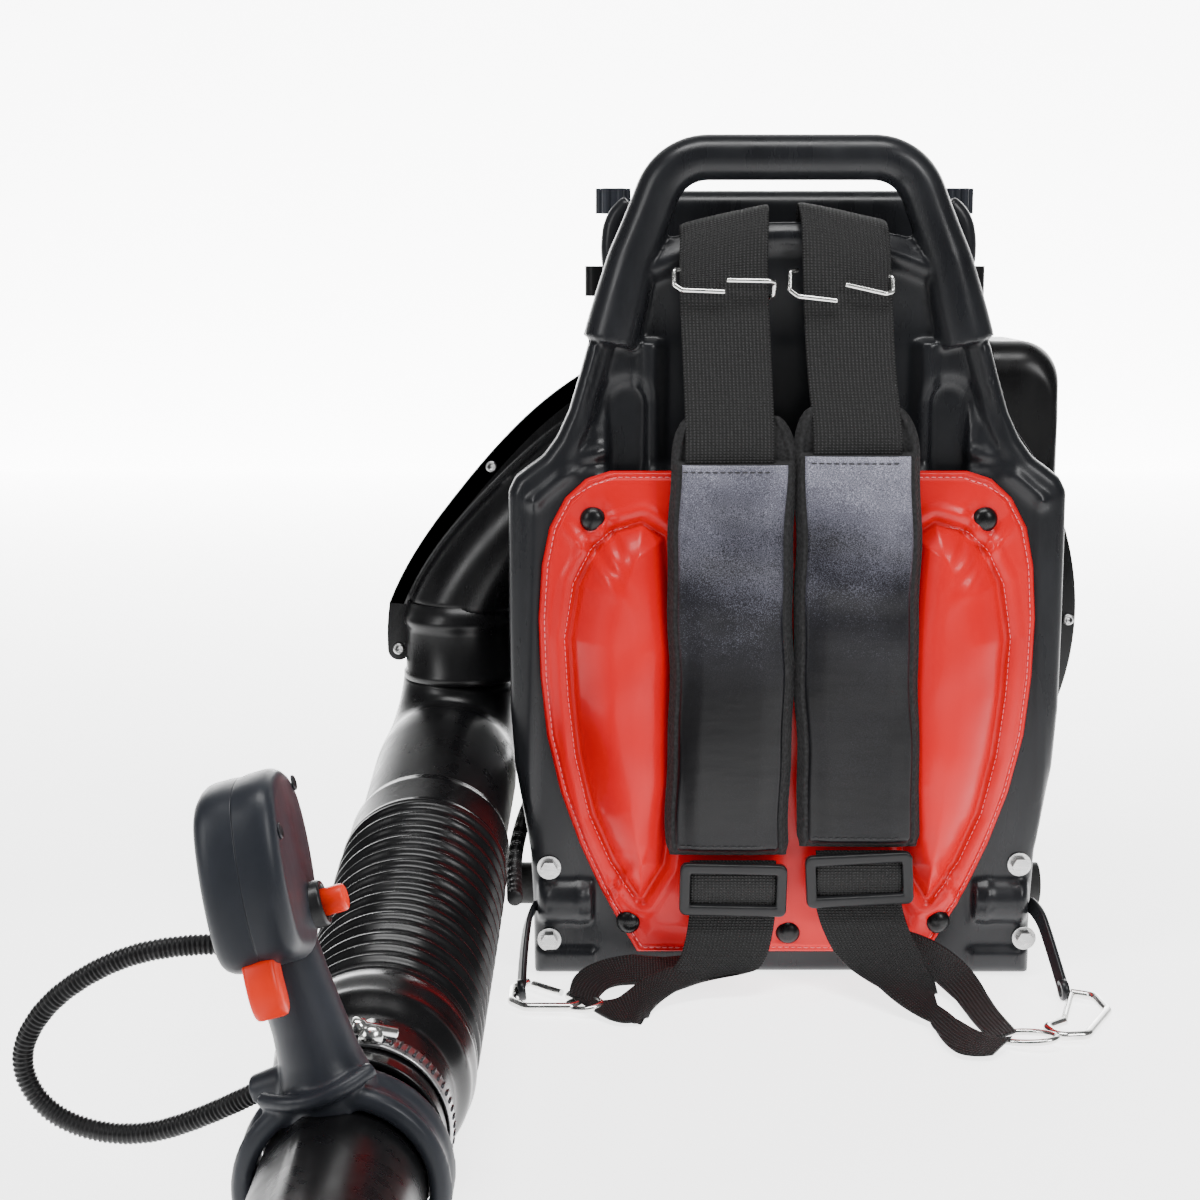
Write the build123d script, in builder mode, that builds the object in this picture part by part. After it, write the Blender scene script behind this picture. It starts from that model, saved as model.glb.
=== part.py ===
from build123d import *
import os
from math import cos, radians, sin, sqrt, tan

# Backpack leaf blower, 63 cc class. Millimetres, +Z up. The origin is the centre of the
# underside of the base, the wearer's back lies against the pad at -Y, and the blow tube
# runs forward along -Y. Each sub-part is one node and one STEP file.

os.makedirs("parts", exist_ok=True)

# ---- driving dimensions -------------------------------------------------------------
HEIGHT = 490.0          # floor to the top of the carrying handle
FRAME_FRONT = -120.0    # front face of the back frame, along Y
FRAME_DEPTH = 25.0
HANDLE_D = 26.0
BASE_HALF_X = 140.0
BASE_HALF_Y = 120.0
BASE_T = 10.0

CRANK_Z = 195.0         # crankshaft height; the shaft runs along Y through X = 0
FAN_Y = -40.0           # parting plane of the fan scroll
SCROLL_HALF = 46.0      # half the scroll's depth
SCROLL_WALL = 3.0
SCROLL_RIM = 14.0       # how far the parting flange stands out
DUCT_X = -198.0         # centre of the fan outlet
DUCT_R = 40.0           # outside radius of the outlet collar
DUCT_BOTTOM = 165.0

CYL_TILT = 40.0         # the cylinder leans to +X
BORE_R = 24.0
STROKE = 35.0

TUBE_R = 35.0           # outside radius of the control tube
TUBE_WALL = 2.5
TUBE_START = (-212.0, -430.0, 49.0)
TUBE_END = (-218.0, -1230.0, 36.5)
ELBOW_END = (-206.0, -165.0, 85.0)
HOSE_MIDDLE = (-210.0, -290.0, 58.0)
RING_STATION = 85.0     # handle ring, along the tube from its start
GRIP_TILT = 16.0        # the grip leans to -X

WEB_W = 50.0            # shoulder webbing
WEB_T = 1.8
LOOM_D = 9.0            # corrugated throttle loom

RUN_FIT = 0.05          # radial clearance of a running fit
LOOSE = 0.35            # clearance between parts that move past each other


def save(block, name):
    """Label a finished sub-part and write its STEP file."""
    block.part.label = name
    export_step(block.part, f"parts/{name}.step")


def rod(points, bends, radius):
    """A round bar or cord along straight runs joined by tangent arcs."""
    with BuildPart() as bar:
        with BuildLine() as route:
            FilletPolyline(*points, radius=bends)
        start = route.wires()[0]
        with BuildSketch(Plane(origin=start @ 0, z_dir=start % 0)):
            Circle(radius)
        sweep()
    return bar.part


def strap(points, bend, width, thickness):
    """A flat band whose route bends about the X axis."""
    with BuildPart() as band:
        with BuildLine() as route:
            FilletPolyline(*points, radius=bend)
        start = route.wires()[0]
        with BuildSketch(Plane(origin=start @ 0, x_dir=(1, 0, 0), z_dir=start % 0)):
            Rectangle(width, thickness)
        sweep()
    return band.part


def route_bends(points, share=0.45):
    """Bend radius at each inner point: a share of the shorter run over tan(half turn)."""
    nodes = [Vector(*p) for p in points]
    radii = []
    for before, here, after in zip(nodes, nodes[1:], nodes[2:]):
        turn = (here - before).get_angle(after - here)
        shorter = min((here - before).length, (after - here).length)
        radii.append(share * shorter / tan(radians(turn / 2)))
    return radii


def mirrored(points):
    """Points of a closed outline: the given right-hand half and its mirror image."""
    return points + [(-x, z) for x, z in reversed(points)]


# ---- back frame: plate, handle loop and strap cross-bar -------------------------------
PLATE_HALF = [(147, 0), (149, 74), (158, 125), (161, 211), (161, 291), (143, 306), (131, 323), (115, 372)]
LEG_FOOT = (101.0, 355.0)
LEG_KNEE = (90.0, 419.0)
HANDLE_CORNER = (68.0, HEIGHT - HANDLE_D / 2)
BAR_TOP = 441.0
SLOT_X = 90.0

BAR_Z = 45.0
BOSS_Y, BOSS_R = -112.0, 14.0
with BuildPart() as back_frame:
    with BuildSketch(Plane.XZ.offset(-FRAME_FRONT)):
        with BuildLine():
            Polyline(*mirrored(PLATE_HALF), close=True)
        make_face()
        fillet(vertices().filter_by(lambda v: 200 < v.Z < 320), radius=10)
    extrude(amount=-FRAME_DEPTH)
    fillet(faces().sort_by(Axis.Y)[0].edges(), radius=5)
    # the web between the handle's legs, set back from the plate's face
    with BuildSketch(Plane.XZ.offset(-FRAME_FRONT - 8)):
        with BuildLine():
            Polyline((-84, 360), (-76, 418), (-40, 436))
            ThreePointArc((-40, 436), (0, BAR_TOP), (40, 436))
            Polyline((40, 436), (76, 418), (84, 360), (-84, 360))
        make_face()
    extrude(amount=-13)
    # recess that carries the straps down to the pad
    with BuildSketch(Plane.XZ.offset(-FRAME_FRONT)):
        with Locations((0, 318)):
            RectangleRounded(156, 200, 30)
    extrude(amount=-8, mode=Mode.SUBTRACT)
    # two deep finger recesses beside the straps
    with BuildSketch(Plane.XZ.offset(-FRAME_FRONT)):
        with Locations((-SLOT_X, 315), (SLOT_X, 315)):
            SlotOverall(90, 23, rotation=90)
    extrude(amount=-15, mode=Mode.SUBTRACT)
    # webbing slots under the cross-bar
    with BuildSketch(Plane.XZ.offset(-FRAME_FRONT)):
        with Locations((-37.5, 411), (29.5, 411)):
            RectangleRounded(54, 12, 4)
    extrude(amount=-FRAME_DEPTH, mode=Mode.SUBTRACT)
    # handle tube
    with BuildLine(Plane.XZ.offset(-FRAME_FRONT - HANDLE_D / 2)) as loop:
        FilletPolyline(
            LEG_FOOT, LEG_KNEE, HANDLE_CORNER, (-HANDLE_CORNER[0], HANDLE_CORNER[1]),
            (-LEG_KNEE[0], LEG_KNEE[1]), (-LEG_FOOT[0], LEG_FOOT[1]), radius=[60, 28, 28, 60],
        )
    with BuildSketch(Plane(origin=loop.wires()[0] @ 0, z_dir=loop.wires()[0] % 0)):
        Circle(HANDLE_D / 2)
    sweep(path=loop.wires()[0])
    # half-round bosses over the cross bar's ends
    for side in (-1, 1):
        with Locations(Location((side * 129, BOSS_Y, BAR_Z), (0, 90, 0))):
            Cylinder(BOSS_R, 34)
    # intake window behind the pad, and the feet's cross-bar channel
    with BuildSketch(Plane.XZ.offset(-FRAME_FRONT)):
        with Locations((0, 165)):
            SlotOverall(130, 80)
    extrude(amount=-FRAME_DEPTH, mode=Mode.SUBTRACT)
save(back_frame, "back_frame")

# ---- base tray ------------------------------------------------------------------------
with BuildPart() as base_tray:
    with BuildSketch(Plane.XY) as floor_plan:
        with Locations((0, (BASE_HALF_Y + FRAME_FRONT + FRAME_DEPTH) / 2)):
            RectangleRounded(2 * BASE_HALF_X, BASE_HALF_Y - FRAME_FRONT - FRAME_DEPTH, 12)
    extrude(amount=BASE_T)
    with BuildSketch(Plane.XY.offset(BASE_T)):
        add(floor_plan.sketch)
        offset(floor_plan.sketch, amount=-5, mode=Mode.SUBTRACT)
    extrude(amount=6)
    # posts that carry the crankcase
    with Locations((-28, 20, BASE_T), (28, 20, BASE_T), (-28, 68, BASE_T), (28, 68, BASE_T)):
        Cylinder(6, 4, align=(Align.CENTER, Align.CENTER, Align.MIN))
save(base_tray, "base_tray")

# ---- back pad -------------------------------------------------------------------------
PAD_HALF = [(86, 14), (108, 54), (131, 112), (142, 181), (143, 240), (133, 275), (106, 300)]
BOLSTER = [(84, 47), (106, 88), (121, 146), (124, 205), (113, 258), (94, 273), (81, 262), (80, 160)]

with BuildPart() as back_pad:
    with BuildSketch(Plane.XZ.offset(-FRAME_FRONT + 0.4)):
        with BuildLine():
            Polyline(*mirrored(PAD_HALF), close=True)
        make_face()
        fillet(vertices(), radius=16)
    extrude(amount=9)
    with BuildSketch(Plane.XZ.offset(-FRAME_FRONT + 9)):
        for side in (-1, 1):
            with BuildLine():
                Polyline(*[(side * x, z) for x, z in BOLSTER], close=True)
            make_face()
        fillet(vertices(), radius=7)
    extrude(amount=15)
    fillet(faces().sort_by(Axis.Y)[:2].edges(), radius=5)
save(back_pad, "back_pad")

# ---- pad rivets -----------------------------------------------------------------------
RIVETS = [(-112, 273), (112, 273), (-91, 34), (91, 34), (3, 28)]

with BuildPart() as pad_rivets:
    with BuildSketch(Plane.XZ.offset(-FRAME_FRONT + 9.4)):
        with Locations(*RIVETS):
            Circle(6.5)
    extrude(amount=4)
    fillet(edges().filter_by(GeomType.CIRCLE).group_by(Axis.Y)[0], radius=3)
save(pad_rivets, "pad_rivets")

# ---- shoulder straps: padded bands, webbing, keepers and buckles ------------------------
# Each side: the lower and upper centre of the padded band, and the webbing's centre.
STRAPS = {
    "left": {"foot": (-35.5, 78), "head": (-35.0, 330), "web": -37.5, "buckle": (-31, 60)},
    "right": {"foot": (42.0, 85), "head": (36.5, 330), "web": 29.5, "buckle": (41.8, 66)},
}
PAD_BAND_W = 68.0
PAD_BAND_T = 12.0
BAND_Y = FRAME_FRONT - 16.0     # back face of the padded bands

with BuildPart() as strap_pads:
    half = PAD_BAND_W / 2
    for place in STRAPS.values():
        (foot_x, foot_z), (head_x, head_z) = place["foot"], place["head"]
        with BuildSketch(Plane.XZ.offset(-BAND_Y)):
            with BuildLine():
                Polyline((foot_x - half, foot_z), (foot_x + half, foot_z), (head_x + half, head_z - 25),
                         (head_x + half - 14, head_z), (head_x - half + 14, head_z),
                         (head_x - half, head_z - 25), close=True)
            make_face()
        extrude(amount=PAD_BAND_T)
    fillet(faces().filter_by(Axis.Y).sort_by(Axis.Y)[:2].edges(), radius=3)
save(strap_pads, "strap_pads")

with BuildPart() as upper_webbing:
    for place in STRAPS.values():
        x = place["web"]
        add(strap([(x, -91, 398), (x, -91, 446), (x, -116, 446), (x, -126, 400), (x, -134, 334)],
                  6, WEB_W, WEB_T))
save(upper_webbing, "upper_webbing")

# ladder buckles: a frame with a centre bar, sewn to the foot of each padded band
with BuildPart() as buckles:
    for place in STRAPS.values():
        buckle_x, buckle_z = place["buckle"]
        with BuildSketch(Plane.XZ.offset(-BAND_Y + 3)):
            with Locations((buckle_x, buckle_z)):
                RectangleRounded(62, 33, 5)
            with Locations((buckle_x, buckle_z + 7.5), (buckle_x, buckle_z - 7.5)):
                RectangleRounded(52, 9, 2, mode=Mode.SUBTRACT)
        extrude(amount=6)
save(buckles, "buckles")

KEEPERS = [(-52, 405, -27.5), (-22, 408, -26.5), (12, 401, -27), (43, 404, -26)]

with BuildPart() as wire_keepers:
    for x, z, lean in KEEPERS:
        add(rod([(x - 13, -128.6, z), (x - 13, -133, z - 3), (x + 13, -133, z), (x + 13, -128.6, z + 3)],
                1.8, 1.4))
save(wire_keepers, "wire_keepers")

# ---- lower webbing, lying forward on the ground ----------------------------------------
LOWER_ROUTES = [
    [(-34, -142, 41.5), (-34, -149, 20), (-34, -172, 3.2), (-34, -226, 3.2)],
    [(44, -142, 47.5), (46, -150, 24), (52, -168, 3.2), (64, -222, 3.2)],
]
TAILS = [
    [(-60, -226), (-60, -180), (-112, -172), (-112, -196)],
    [(90, -176), (90, -226), (132, -236), (140, -216)],
]
with BuildPart() as lower_webbing:
    for route, tail in zip(LOWER_ROUTES, TAILS):
        add(strap(route, 10, WEB_W, WEB_T))
        with BuildSketch(Plane.XY.offset(1.5)):
            with BuildLine():
                Polyline(*tail, close=True)
            make_face()
        extrude(amount=3)
save(lower_webbing, "lower_webbing")

# ---- snap hooks, their spring gates and the brackets they hang in -----------------------
WIRE_R = 2.5
HOOKS = {
    "left": [(-126, -170), (-116, -180), (-124, -190), (-150, -190), (-158, -180), (-158, -158), (-150, -148)],
    "right": [(148, -212), (136, -222), (140, -236), (156, -234), (176, -196), (174, -172), (162, -166)],
}
with BuildPart() as snap_hooks:
    for corners in HOOKS.values():
        wire = [(x, y, 5.0) for x, y in corners]
        add(rod(wire, 6, WIRE_R))
        with Locations(wire[0]):
            Cylinder(4.5, 7)
save(snap_hooks, "snap_hooks")

for side, corners in HOOKS.items():
    first = Vector(*corners[0], 5.0)
    last = Vector(*corners[-1], 5.0)
    along = (last - first).normalized()
    with BuildPart() as snap_gate:
        with BuildSketch(Plane(origin=first + along * 5.5, z_dir=along)):
            Circle(1.9)
        extrude(amount=(last - first).length - 10.0)
    save(snap_gate, f"snap_gate_{side}")

EYES = [(-1, -153, -163), (1, 158, -163)]
with BuildPart() as hook_brackets:
    for sign, x, y in EYES:
        add(rod([(x, FRAME_FRONT - 1, 24), (x, FRAME_FRONT - 12, 24), (x, y + 6, 14.5),
                 (x, y - 8, 12.0)], 5, 2.4))
        with BuildSketch(Plane.XZ.offset(-FRAME_FRONT + 0.5)):
            with Locations((x - sign * 1, 24)):
                RectangleRounded(11, 14, 3)
        extrude(amount=2.5)
save(hook_brackets, "hook_brackets")

# ---- foot cross-bar with rubber bushes, clamp caps and bolts ----------------------------
BAR_Y = -81.0

with BuildPart() as mount_bar:
    with BuildSketch(Plane.YZ.offset(-136)):
        with Locations((BAR_Y, BAR_Z)):
            Circle(9)
    extrude(amount=272)
save(mount_bar, "mount_bar")

with BuildPart() as mount_bushes:
    for start in (-158, 136):
        with BuildSketch(Plane.YZ.offset(start)):
            with Locations((BAR_Y, BAR_Z)):
                Circle(12.5)
        extrude(amount=22)
save(mount_bushes, "mount_bushes")

CAP_BOTTOM = BASE_T + 6.0
CAP_HEIGHT = BAR_Z + 15.0 - CAP_BOTTOM
with BuildPart() as clamp_caps:
    for x in (-118, 118):
        with BuildSketch(Plane.YZ.offset(x - 13)):
            with Locations((BAR_Y, CAP_BOTTOM + CAP_HEIGHT / 2)):
                Rectangle(26, CAP_HEIGHT)
            with Locations((BAR_Y, BAR_Z)):
                Circle(9, mode=Mode.SUBTRACT)
        extrude(amount=26)
save(clamp_caps, "clamp_caps")

BOLTS = [(-138, 66), (-138, 22), (139, 68), (143, 23)]
with BuildPart() as clamp_bolts:
    with BuildSketch(Plane.XZ.offset(-FRAME_FRONT)):
        with Locations(*BOLTS):
            Circle(7)
    extrude(amount=1.5)
    with BuildSketch(Plane.XZ.offset(-FRAME_FRONT + 1.5)):
        with Locations(*BOLTS):
            RegularPolygon(5, 6)
    extrude(amount=5)
save(clamp_bolts, "clamp_bolts")

# ---- fan scroll --------------------------------------------------------------------------
# Spiral radius about the crankshaft, by angle from +X towards +Z. It grows from the
# tongue at the lower left, round the bottom, right and top, to the outlet at the left.
SPIRAL = [(-152, 160), (-90, 160), (-45, 171), (0, 184), (45, 190), (90, 194), (130, 198), (156, 211), (176, 232)]


def scroll_outline(inset):
    """Outline of the scroll in X and Z, drawn inset from the flange's edge."""
    points = [(cos(radians(a)) * (r - inset), CRANK_Z + sin(radians(a)) * (r - inset)) for a, r in SPIRAL]
    return points


def scroll_slab(inset, bottom, front, back):
    """A slab of the scroll's outline: spiral, straight down into the outlet, the tongue."""
    points = scroll_outline(inset)
    outer_x = points[-1][0]
    tongue_x = DUCT_X + DUCT_R + 5 - inset / 2
    with BuildPart() as slab:
        with BuildSketch(Plane.XZ.offset(-back)):
            with BuildLine():
                Spline(*points)
                Polyline(points[-1], (outer_x, bottom), (tongue_x, bottom), points[0])
            make_face()
        extrude(amount=back - front)
    return slab.part


SHOULDER = 14.0         # the front edge steps in by this much, in depth and in outline
SCROLL_FRONT = FAN_Y - SCROLL_HALF
SCROLL_BACK = FAN_Y + SCROLL_HALF
SHOULDER_Y = SCROLL_FRONT + SHOULDER
BODY_BOTTOM = DUCT_BOTTOM + 36

with BuildPart() as scroll_shell:
    add(scroll_slab(SCROLL_RIM, BODY_BOTTOM, SHOULDER_Y, SCROLL_BACK))
    add(scroll_slab(SCROLL_RIM + SHOULDER, BODY_BOTTOM + 2, SCROLL_FRONT, SHOULDER_Y))
    add(scroll_slab(0, DUCT_BOTTOM + 8, FAN_Y - 3, FAN_Y + 3))
    # round outlet collar
    with BuildSketch(Plane.XY.offset(DUCT_BOTTOM)):
        with Locations((DUCT_X, FAN_Y)):
            Circle(DUCT_R)
    extrude(amount=45)
    # the room for the impeller, and the way out through the collar
    add(scroll_slab(SCROLL_RIM + SCROLL_WALL, BODY_BOTTOM + 5, SHOULDER_Y + 3, SCROLL_BACK - 3),
        mode=Mode.SUBTRACT)
    add(scroll_slab(SCROLL_RIM + SHOULDER + SCROLL_WALL, BODY_BOTTOM + 7, SCROLL_FRONT + 3, SHOULDER_Y + 6),
        mode=Mode.SUBTRACT)
    with BuildSketch(Plane.XY.offset(DUCT_BOTTOM)):
        with Locations((DUCT_X, FAN_Y)):
            Circle(DUCT_R - 2.5)
    extrude(amount=60, mode=Mode.SUBTRACT)
    # air intake in the front wall with its moulded grille, shaft hole in the rear wall
    with BuildSketch(Plane.XZ.offset(-SCROLL_FRONT)):
        with Locations((0, CRANK_Z)):
            Circle(62)
    extrude(amount=-SCROLL_WALL - 2, mode=Mode.SUBTRACT)
    with BuildSketch(Plane.XZ.offset(-SCROLL_FRONT - SCROLL_WALL)):
        with Locations((0, CRANK_Z)):
            for ring in (64, 50, 36, 22):
                Circle(ring)
                Circle(ring - 3, mode=Mode.SUBTRACT)
            with PolarLocations(41, 6):
                Rectangle(42, 3)
    extrude(amount=SCROLL_WALL)
    with BuildSketch(Plane.XZ.offset(-FAN_Y)):
        with Locations((0, CRANK_Z)):
            Circle(22)
    extrude(amount=-SCROLL_HALF - 1, mode=Mode.SUBTRACT)

for name, kept in (("volute_front", Keep.BOTTOM), ("volute_rear", Keep.TOP)):
    with BuildPart() as half_scroll:
        add(scroll_shell.part)
        split(bisect_by=Plane((0, FAN_Y, 0), z_dir=(0, 1, 0)), keep=kept)
    save(half_scroll, name)

SCREW_ANGLES = [(-60, 161), (-20, 172), (4, 178), (40, 183), (75, 186), (110, 189), (152, 202), (178.5, 226)]
with BuildPart() as volute_screws:
    spots = [(cos(radians(a)) * r, CRANK_Z + sin(radians(a)) * r) for a, r in SCREW_ANGLES]
    with BuildSketch(Plane.XZ.offset(-FAN_Y + 3)):
        with Locations(*spots):
            Circle(4)
    extrude(amount=2.6)
    fillet(edges().filter_by(GeomType.CIRCLE).group_by(Axis.Y)[0], radius=1.2)
save(volute_screws, "volute_screws")

# ---- impeller and rotating shaft -----------------------------------------------------------
SHAFT_R = 8.5
BLADES = 12

with BuildPart() as impeller:
    with BuildSketch(Plane.XZ.offset(18)):
        with Locations((0, CRANK_Z)):
            Circle(138)
            Circle(SHAFT_R, mode=Mode.SUBTRACT)
    extrude(amount=3)
    with BuildSketch(Plane.XZ.offset(21)):
        with Locations((0, CRANK_Z)):
            Circle(18)
            Circle(SHAFT_R, mode=Mode.SUBTRACT)
    extrude(amount=44)
    with BuildSketch(Plane.XZ.offset(21)):
        with Locations((0, CRANK_Z)):
            with PolarLocations(96, BLADES):
                Rectangle(70, 3, rotation=-32)
    extrude(amount=46)
save(impeller, "impeller")

with BuildPart() as impeller_nut:
    with BuildSketch(Plane.XZ.offset(65)):
        with Locations((0, CRANK_Z)):
            RegularPolygon(12, 6)
            Circle(SHAFT_R, mode=Mode.SUBTRACT)
    extrude(amount=9)
save(impeller_nut, "impeller_nut")

# crankshaft: shaft along Y with two webs and the crank pin between them
WEB_PLANES = (32.0, 50.0)
with BuildPart() as crankshaft:
    for y_from, y_to in ((-74.0, 40.0), (50.0, 112.0)):
        with BuildSketch(Plane.XZ.offset(-y_from)):
            with Locations((0, CRANK_Z)):
                Circle(SHAFT_R)
        extrude(amount=-(y_to - y_from))
    for y in WEB_PLANES:
        with BuildSketch(Plane.XZ.offset(-y)):
            with Locations((0, CRANK_Z)):
                Circle(34)
        extrude(amount=-8)
    with BuildSketch(Plane.XZ.offset(-36)):
        with Locations((sin(radians(CYL_TILT)) * STROKE / 2, CRANK_Z + cos(radians(CYL_TILT)) * STROKE / 2)):
            Circle(7)
    extrude(amount=-18)
save(crankshaft, "crankshaft")

with BuildPart() as flywheel:
    with BuildSketch(Plane.XZ.offset(-92)):
        with Locations((0, CRANK_Z)):
            Circle(52)
            Circle(SHAFT_R, mode=Mode.SUBTRACT)
    extrude(amount=-12)
    with BuildSketch(Plane.XZ.offset(-104)):
        with Locations((0, CRANK_Z)):
            with PolarLocations(36, 10):
                Rectangle(24, 2.5)
    extrude(amount=-7)
save(flywheel, "flywheel")

# ---- crankcase, bearings, cylinder, piston ---------------------------------------------------
LEAN = Vector(sin(radians(CYL_TILT)), 0, cos(radians(CYL_TILT)))
CRANK_CENTRE = Vector(0, 45, CRANK_Z)


def on_cylinder(distance):
    """Plane square to the cylinder's axis, this far from the crankshaft."""
    return Plane(origin=CRANK_CENTRE + LEAN * distance, x_dir=(0, 1, 0), z_dir=LEAN)


with BuildPart() as crankcase:
    with BuildSketch(Plane.XZ.offset(-12)):
        with Locations((0, CRANK_Z)):
            Circle(46)
        with Locations((0, CRANK_Z - 90)):
            Rectangle(76, 120)
    extrude(amount=-66)
    with BuildSketch(on_cylinder(30)):
        Rectangle(60, 62)
    extrude(amount=20)
    with BuildSketch(Plane.XZ.offset(-18)):
        with Locations((0, CRANK_Z)):
            Circle(38)
    extrude(amount=-54, mode=Mode.SUBTRACT)
    with BuildSketch(Plane.XZ.offset(-12)):
        with Locations((0, CRANK_Z)):
            Circle(17)
    extrude(amount=-66, mode=Mode.SUBTRACT)
    with BuildSketch(on_cylinder(30)):
        Circle(BORE_R)
    extrude(amount=20, mode=Mode.SUBTRACT)
    # open arch between the case's two legs, where the fuel tank passes
    with BuildSketch(Plane.XZ.offset(-12)):
        with Locations((0, 76)):
            Rectangle(52, 68)
    extrude(amount=-66, mode=Mode.SUBTRACT)
save(crankcase, "crankcase")

with BuildPart() as crank_bearings:
    for y in (12, 72):
        with BuildSketch(Plane.XZ.offset(-y)):
            with Locations((0, CRANK_Z)):
                Circle(17)
                Circle(SHAFT_R + RUN_FIT, mode=Mode.SUBTRACT)
        extrude(amount=-6)
save(crank_bearings, "crank_bearings")

with BuildPart() as cylinder:
    with BuildSketch(on_cylinder(50)):
        Circle(30)
    extrude(amount=100)
    with BuildSketch(on_cylinder(50)):
        Rectangle(60, 60)
    extrude(amount=6)
    for fin in range(9):
        with BuildSketch(on_cylinder(72 + 9 * fin)):
            RectangleRounded(76, 88, 14)
        extrude(amount=2.4)
    with BuildSketch(on_cylinder(50)):
        Circle(BORE_R)
    extrude(amount=84, mode=Mode.SUBTRACT)
    with BuildSketch(on_cylinder(134)):
        Circle(7)
    extrude(amount=20, mode=Mode.SUBTRACT)
save(cylinder, "cylinder")

with BuildPart() as piston:
    with BuildSketch(on_cylinder(88)):
        Circle(BORE_R - RUN_FIT)
    extrude(amount=42)
    with BuildSketch(on_cylinder(88)):
        Circle(BORE_R - 3.5)
    extrude(amount=36, mode=Mode.SUBTRACT)
    with BuildSketch(Plane(origin=CRANK_CENTRE + LEAN * 110 + Vector(0, -22, 0), z_dir=(0, 1, 0))):
        Circle(6)
    extrude(amount=44)
save(piston, "piston")

with BuildPart() as spark_plug:
    with BuildSketch(on_cylinder(136)):
        Circle(7)
    extrude(amount=18)
    with BuildSketch(on_cylinder(154)):
        RegularPolygon(10.5, 6)
    extrude(amount=9)
    with BuildSketch(on_cylinder(163)):
        Circle(5)
    extrude(amount=14)
save(spark_plug, "spark_plug")

with BuildPart() as plug_boot:
    with BuildSketch(on_cylinder(170)):
        Circle(9)
        Circle(5, mode=Mode.SUBTRACT)
    extrude(amount=7)
    with BuildSketch(on_cylinder(177)):
        Circle(9)
    extrude(amount=18)
    fillet(edges().group_by(Axis.Z)[-1], radius=3)
save(plug_boot, "plug_boot")

# ---- muffler and its guard ---------------------------------------------------------------------
ACROSS = Vector(cos(radians(CYL_TILT)), 0, -sin(radians(CYL_TILT)))

with BuildPart() as muffler:
    with BuildSketch(Plane(origin=CRANK_CENTRE + ACROSS * 48 + LEAN * 106, x_dir=(0, 1, 0), z_dir=ACROSS)):
        RectangleRounded(30, 24, 5)
    extrude(amount=8)
    with BuildSketch(Plane(origin=CRANK_CENTRE + ACROSS * 56 + LEAN * 104, x_dir=(0, 1, 0), z_dir=ACROSS)):
        RectangleRounded(66, 84, 14)
    extrude(amount=50)
    fillet(faces().sort_by(Axis((0, 0, 0), ACROSS))[-1].edges(), radius=6)
save(muffler, "muffler")

# A hood open towards the cylinder, carried on a stud from the muffler's outer face.
GUARD_X, GUARD_TOP = 183.0, 369.0
with BuildPart() as muffler_guard:
    with BuildSketch(Plane.XZ.offset(-8)):
        with BuildLine():
            FilletPolyline((138, 300), (138, GUARD_TOP), (GUARD_X, GUARD_TOP), (GUARD_X, 150), radius=[2, 24])
            Polyline((GUARD_X, 150), (168, 150), (168, 262), (138, 300))
        make_face()
    extrude(amount=-92)
    with BuildSketch(Plane.XZ.offset(-11)):
        with BuildLine():
            FilletPolyline((130, GUARD_TOP - 3), (GUARD_X - 3, GUARD_TOP - 3), (GUARD_X - 3, 140), radius=21)
            Polyline((GUARD_X - 3, 140), (130, 140), (130, GUARD_TOP - 3))
        make_face()
    extrude(amount=-86, mode=Mode.SUBTRACT)
    with BuildSketch(Plane(origin=CRANK_CENTRE + ACROSS * 106 + LEAN * 104, x_dir=(0, 1, 0), z_dir=ACROSS)):
        Circle(5)
    extrude(amount=41)
save(muffler_guard, "muffler_guard")

# ---- carburettor, choke and intake duct -----------------------------------------------------------
CARB = CRANK_CENTRE - ACROSS * 44 + LEAN * 104
with BuildPart() as carburetor:
    with BuildSketch(Plane(origin=CARB, x_dir=(0, 1, 0), z_dir=-ACROSS)):
        RectangleRounded(36, 30, 3)
    extrude(amount=14)
    with BuildSketch(Plane(origin=CARB - ACROSS * 14, x_dir=(0, 1, 0), z_dir=-ACROSS)):
        RectangleRounded(44, 42, 5)
        Circle(9, mode=Mode.SUBTRACT)
    extrude(amount=30)
save(carburetor, "carburetor")

DUCT_TOP_Z = 398.0
CARB_MOUTH = CARB - ACROSS * 44
with BuildPart() as intake_duct:
    with BuildSketch(Plane(origin=CARB_MOUTH, x_dir=(0, 1, 0), z_dir=-ACROSS)):
        Circle(16)
    with BuildSketch(Plane(origin=(CARB_MOUTH.X - 14, 45, DUCT_TOP_Z), x_dir=(0, 1, 0), z_dir=(0, 0, 1))):
        Circle(22)
    loft()
save(intake_duct, "intake_duct")

CHOKE_PIVOT = CARB - ACROSS * 29 + Vector(0, 22, 0)
with BuildPart() as choke_lever:
    with BuildSketch(Plane(origin=CHOKE_PIVOT + Vector(0, LOOSE, 0), x_dir=(1, 0, 0), z_dir=(0, 1, 0))):
        Circle(6)
        with Locations((-15, 0)):
            Rectangle(30, 7)
        with Locations((-30, 0)):
            Circle(5)
    extrude(amount=3)
save(choke_lever, "choke_lever")

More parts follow.
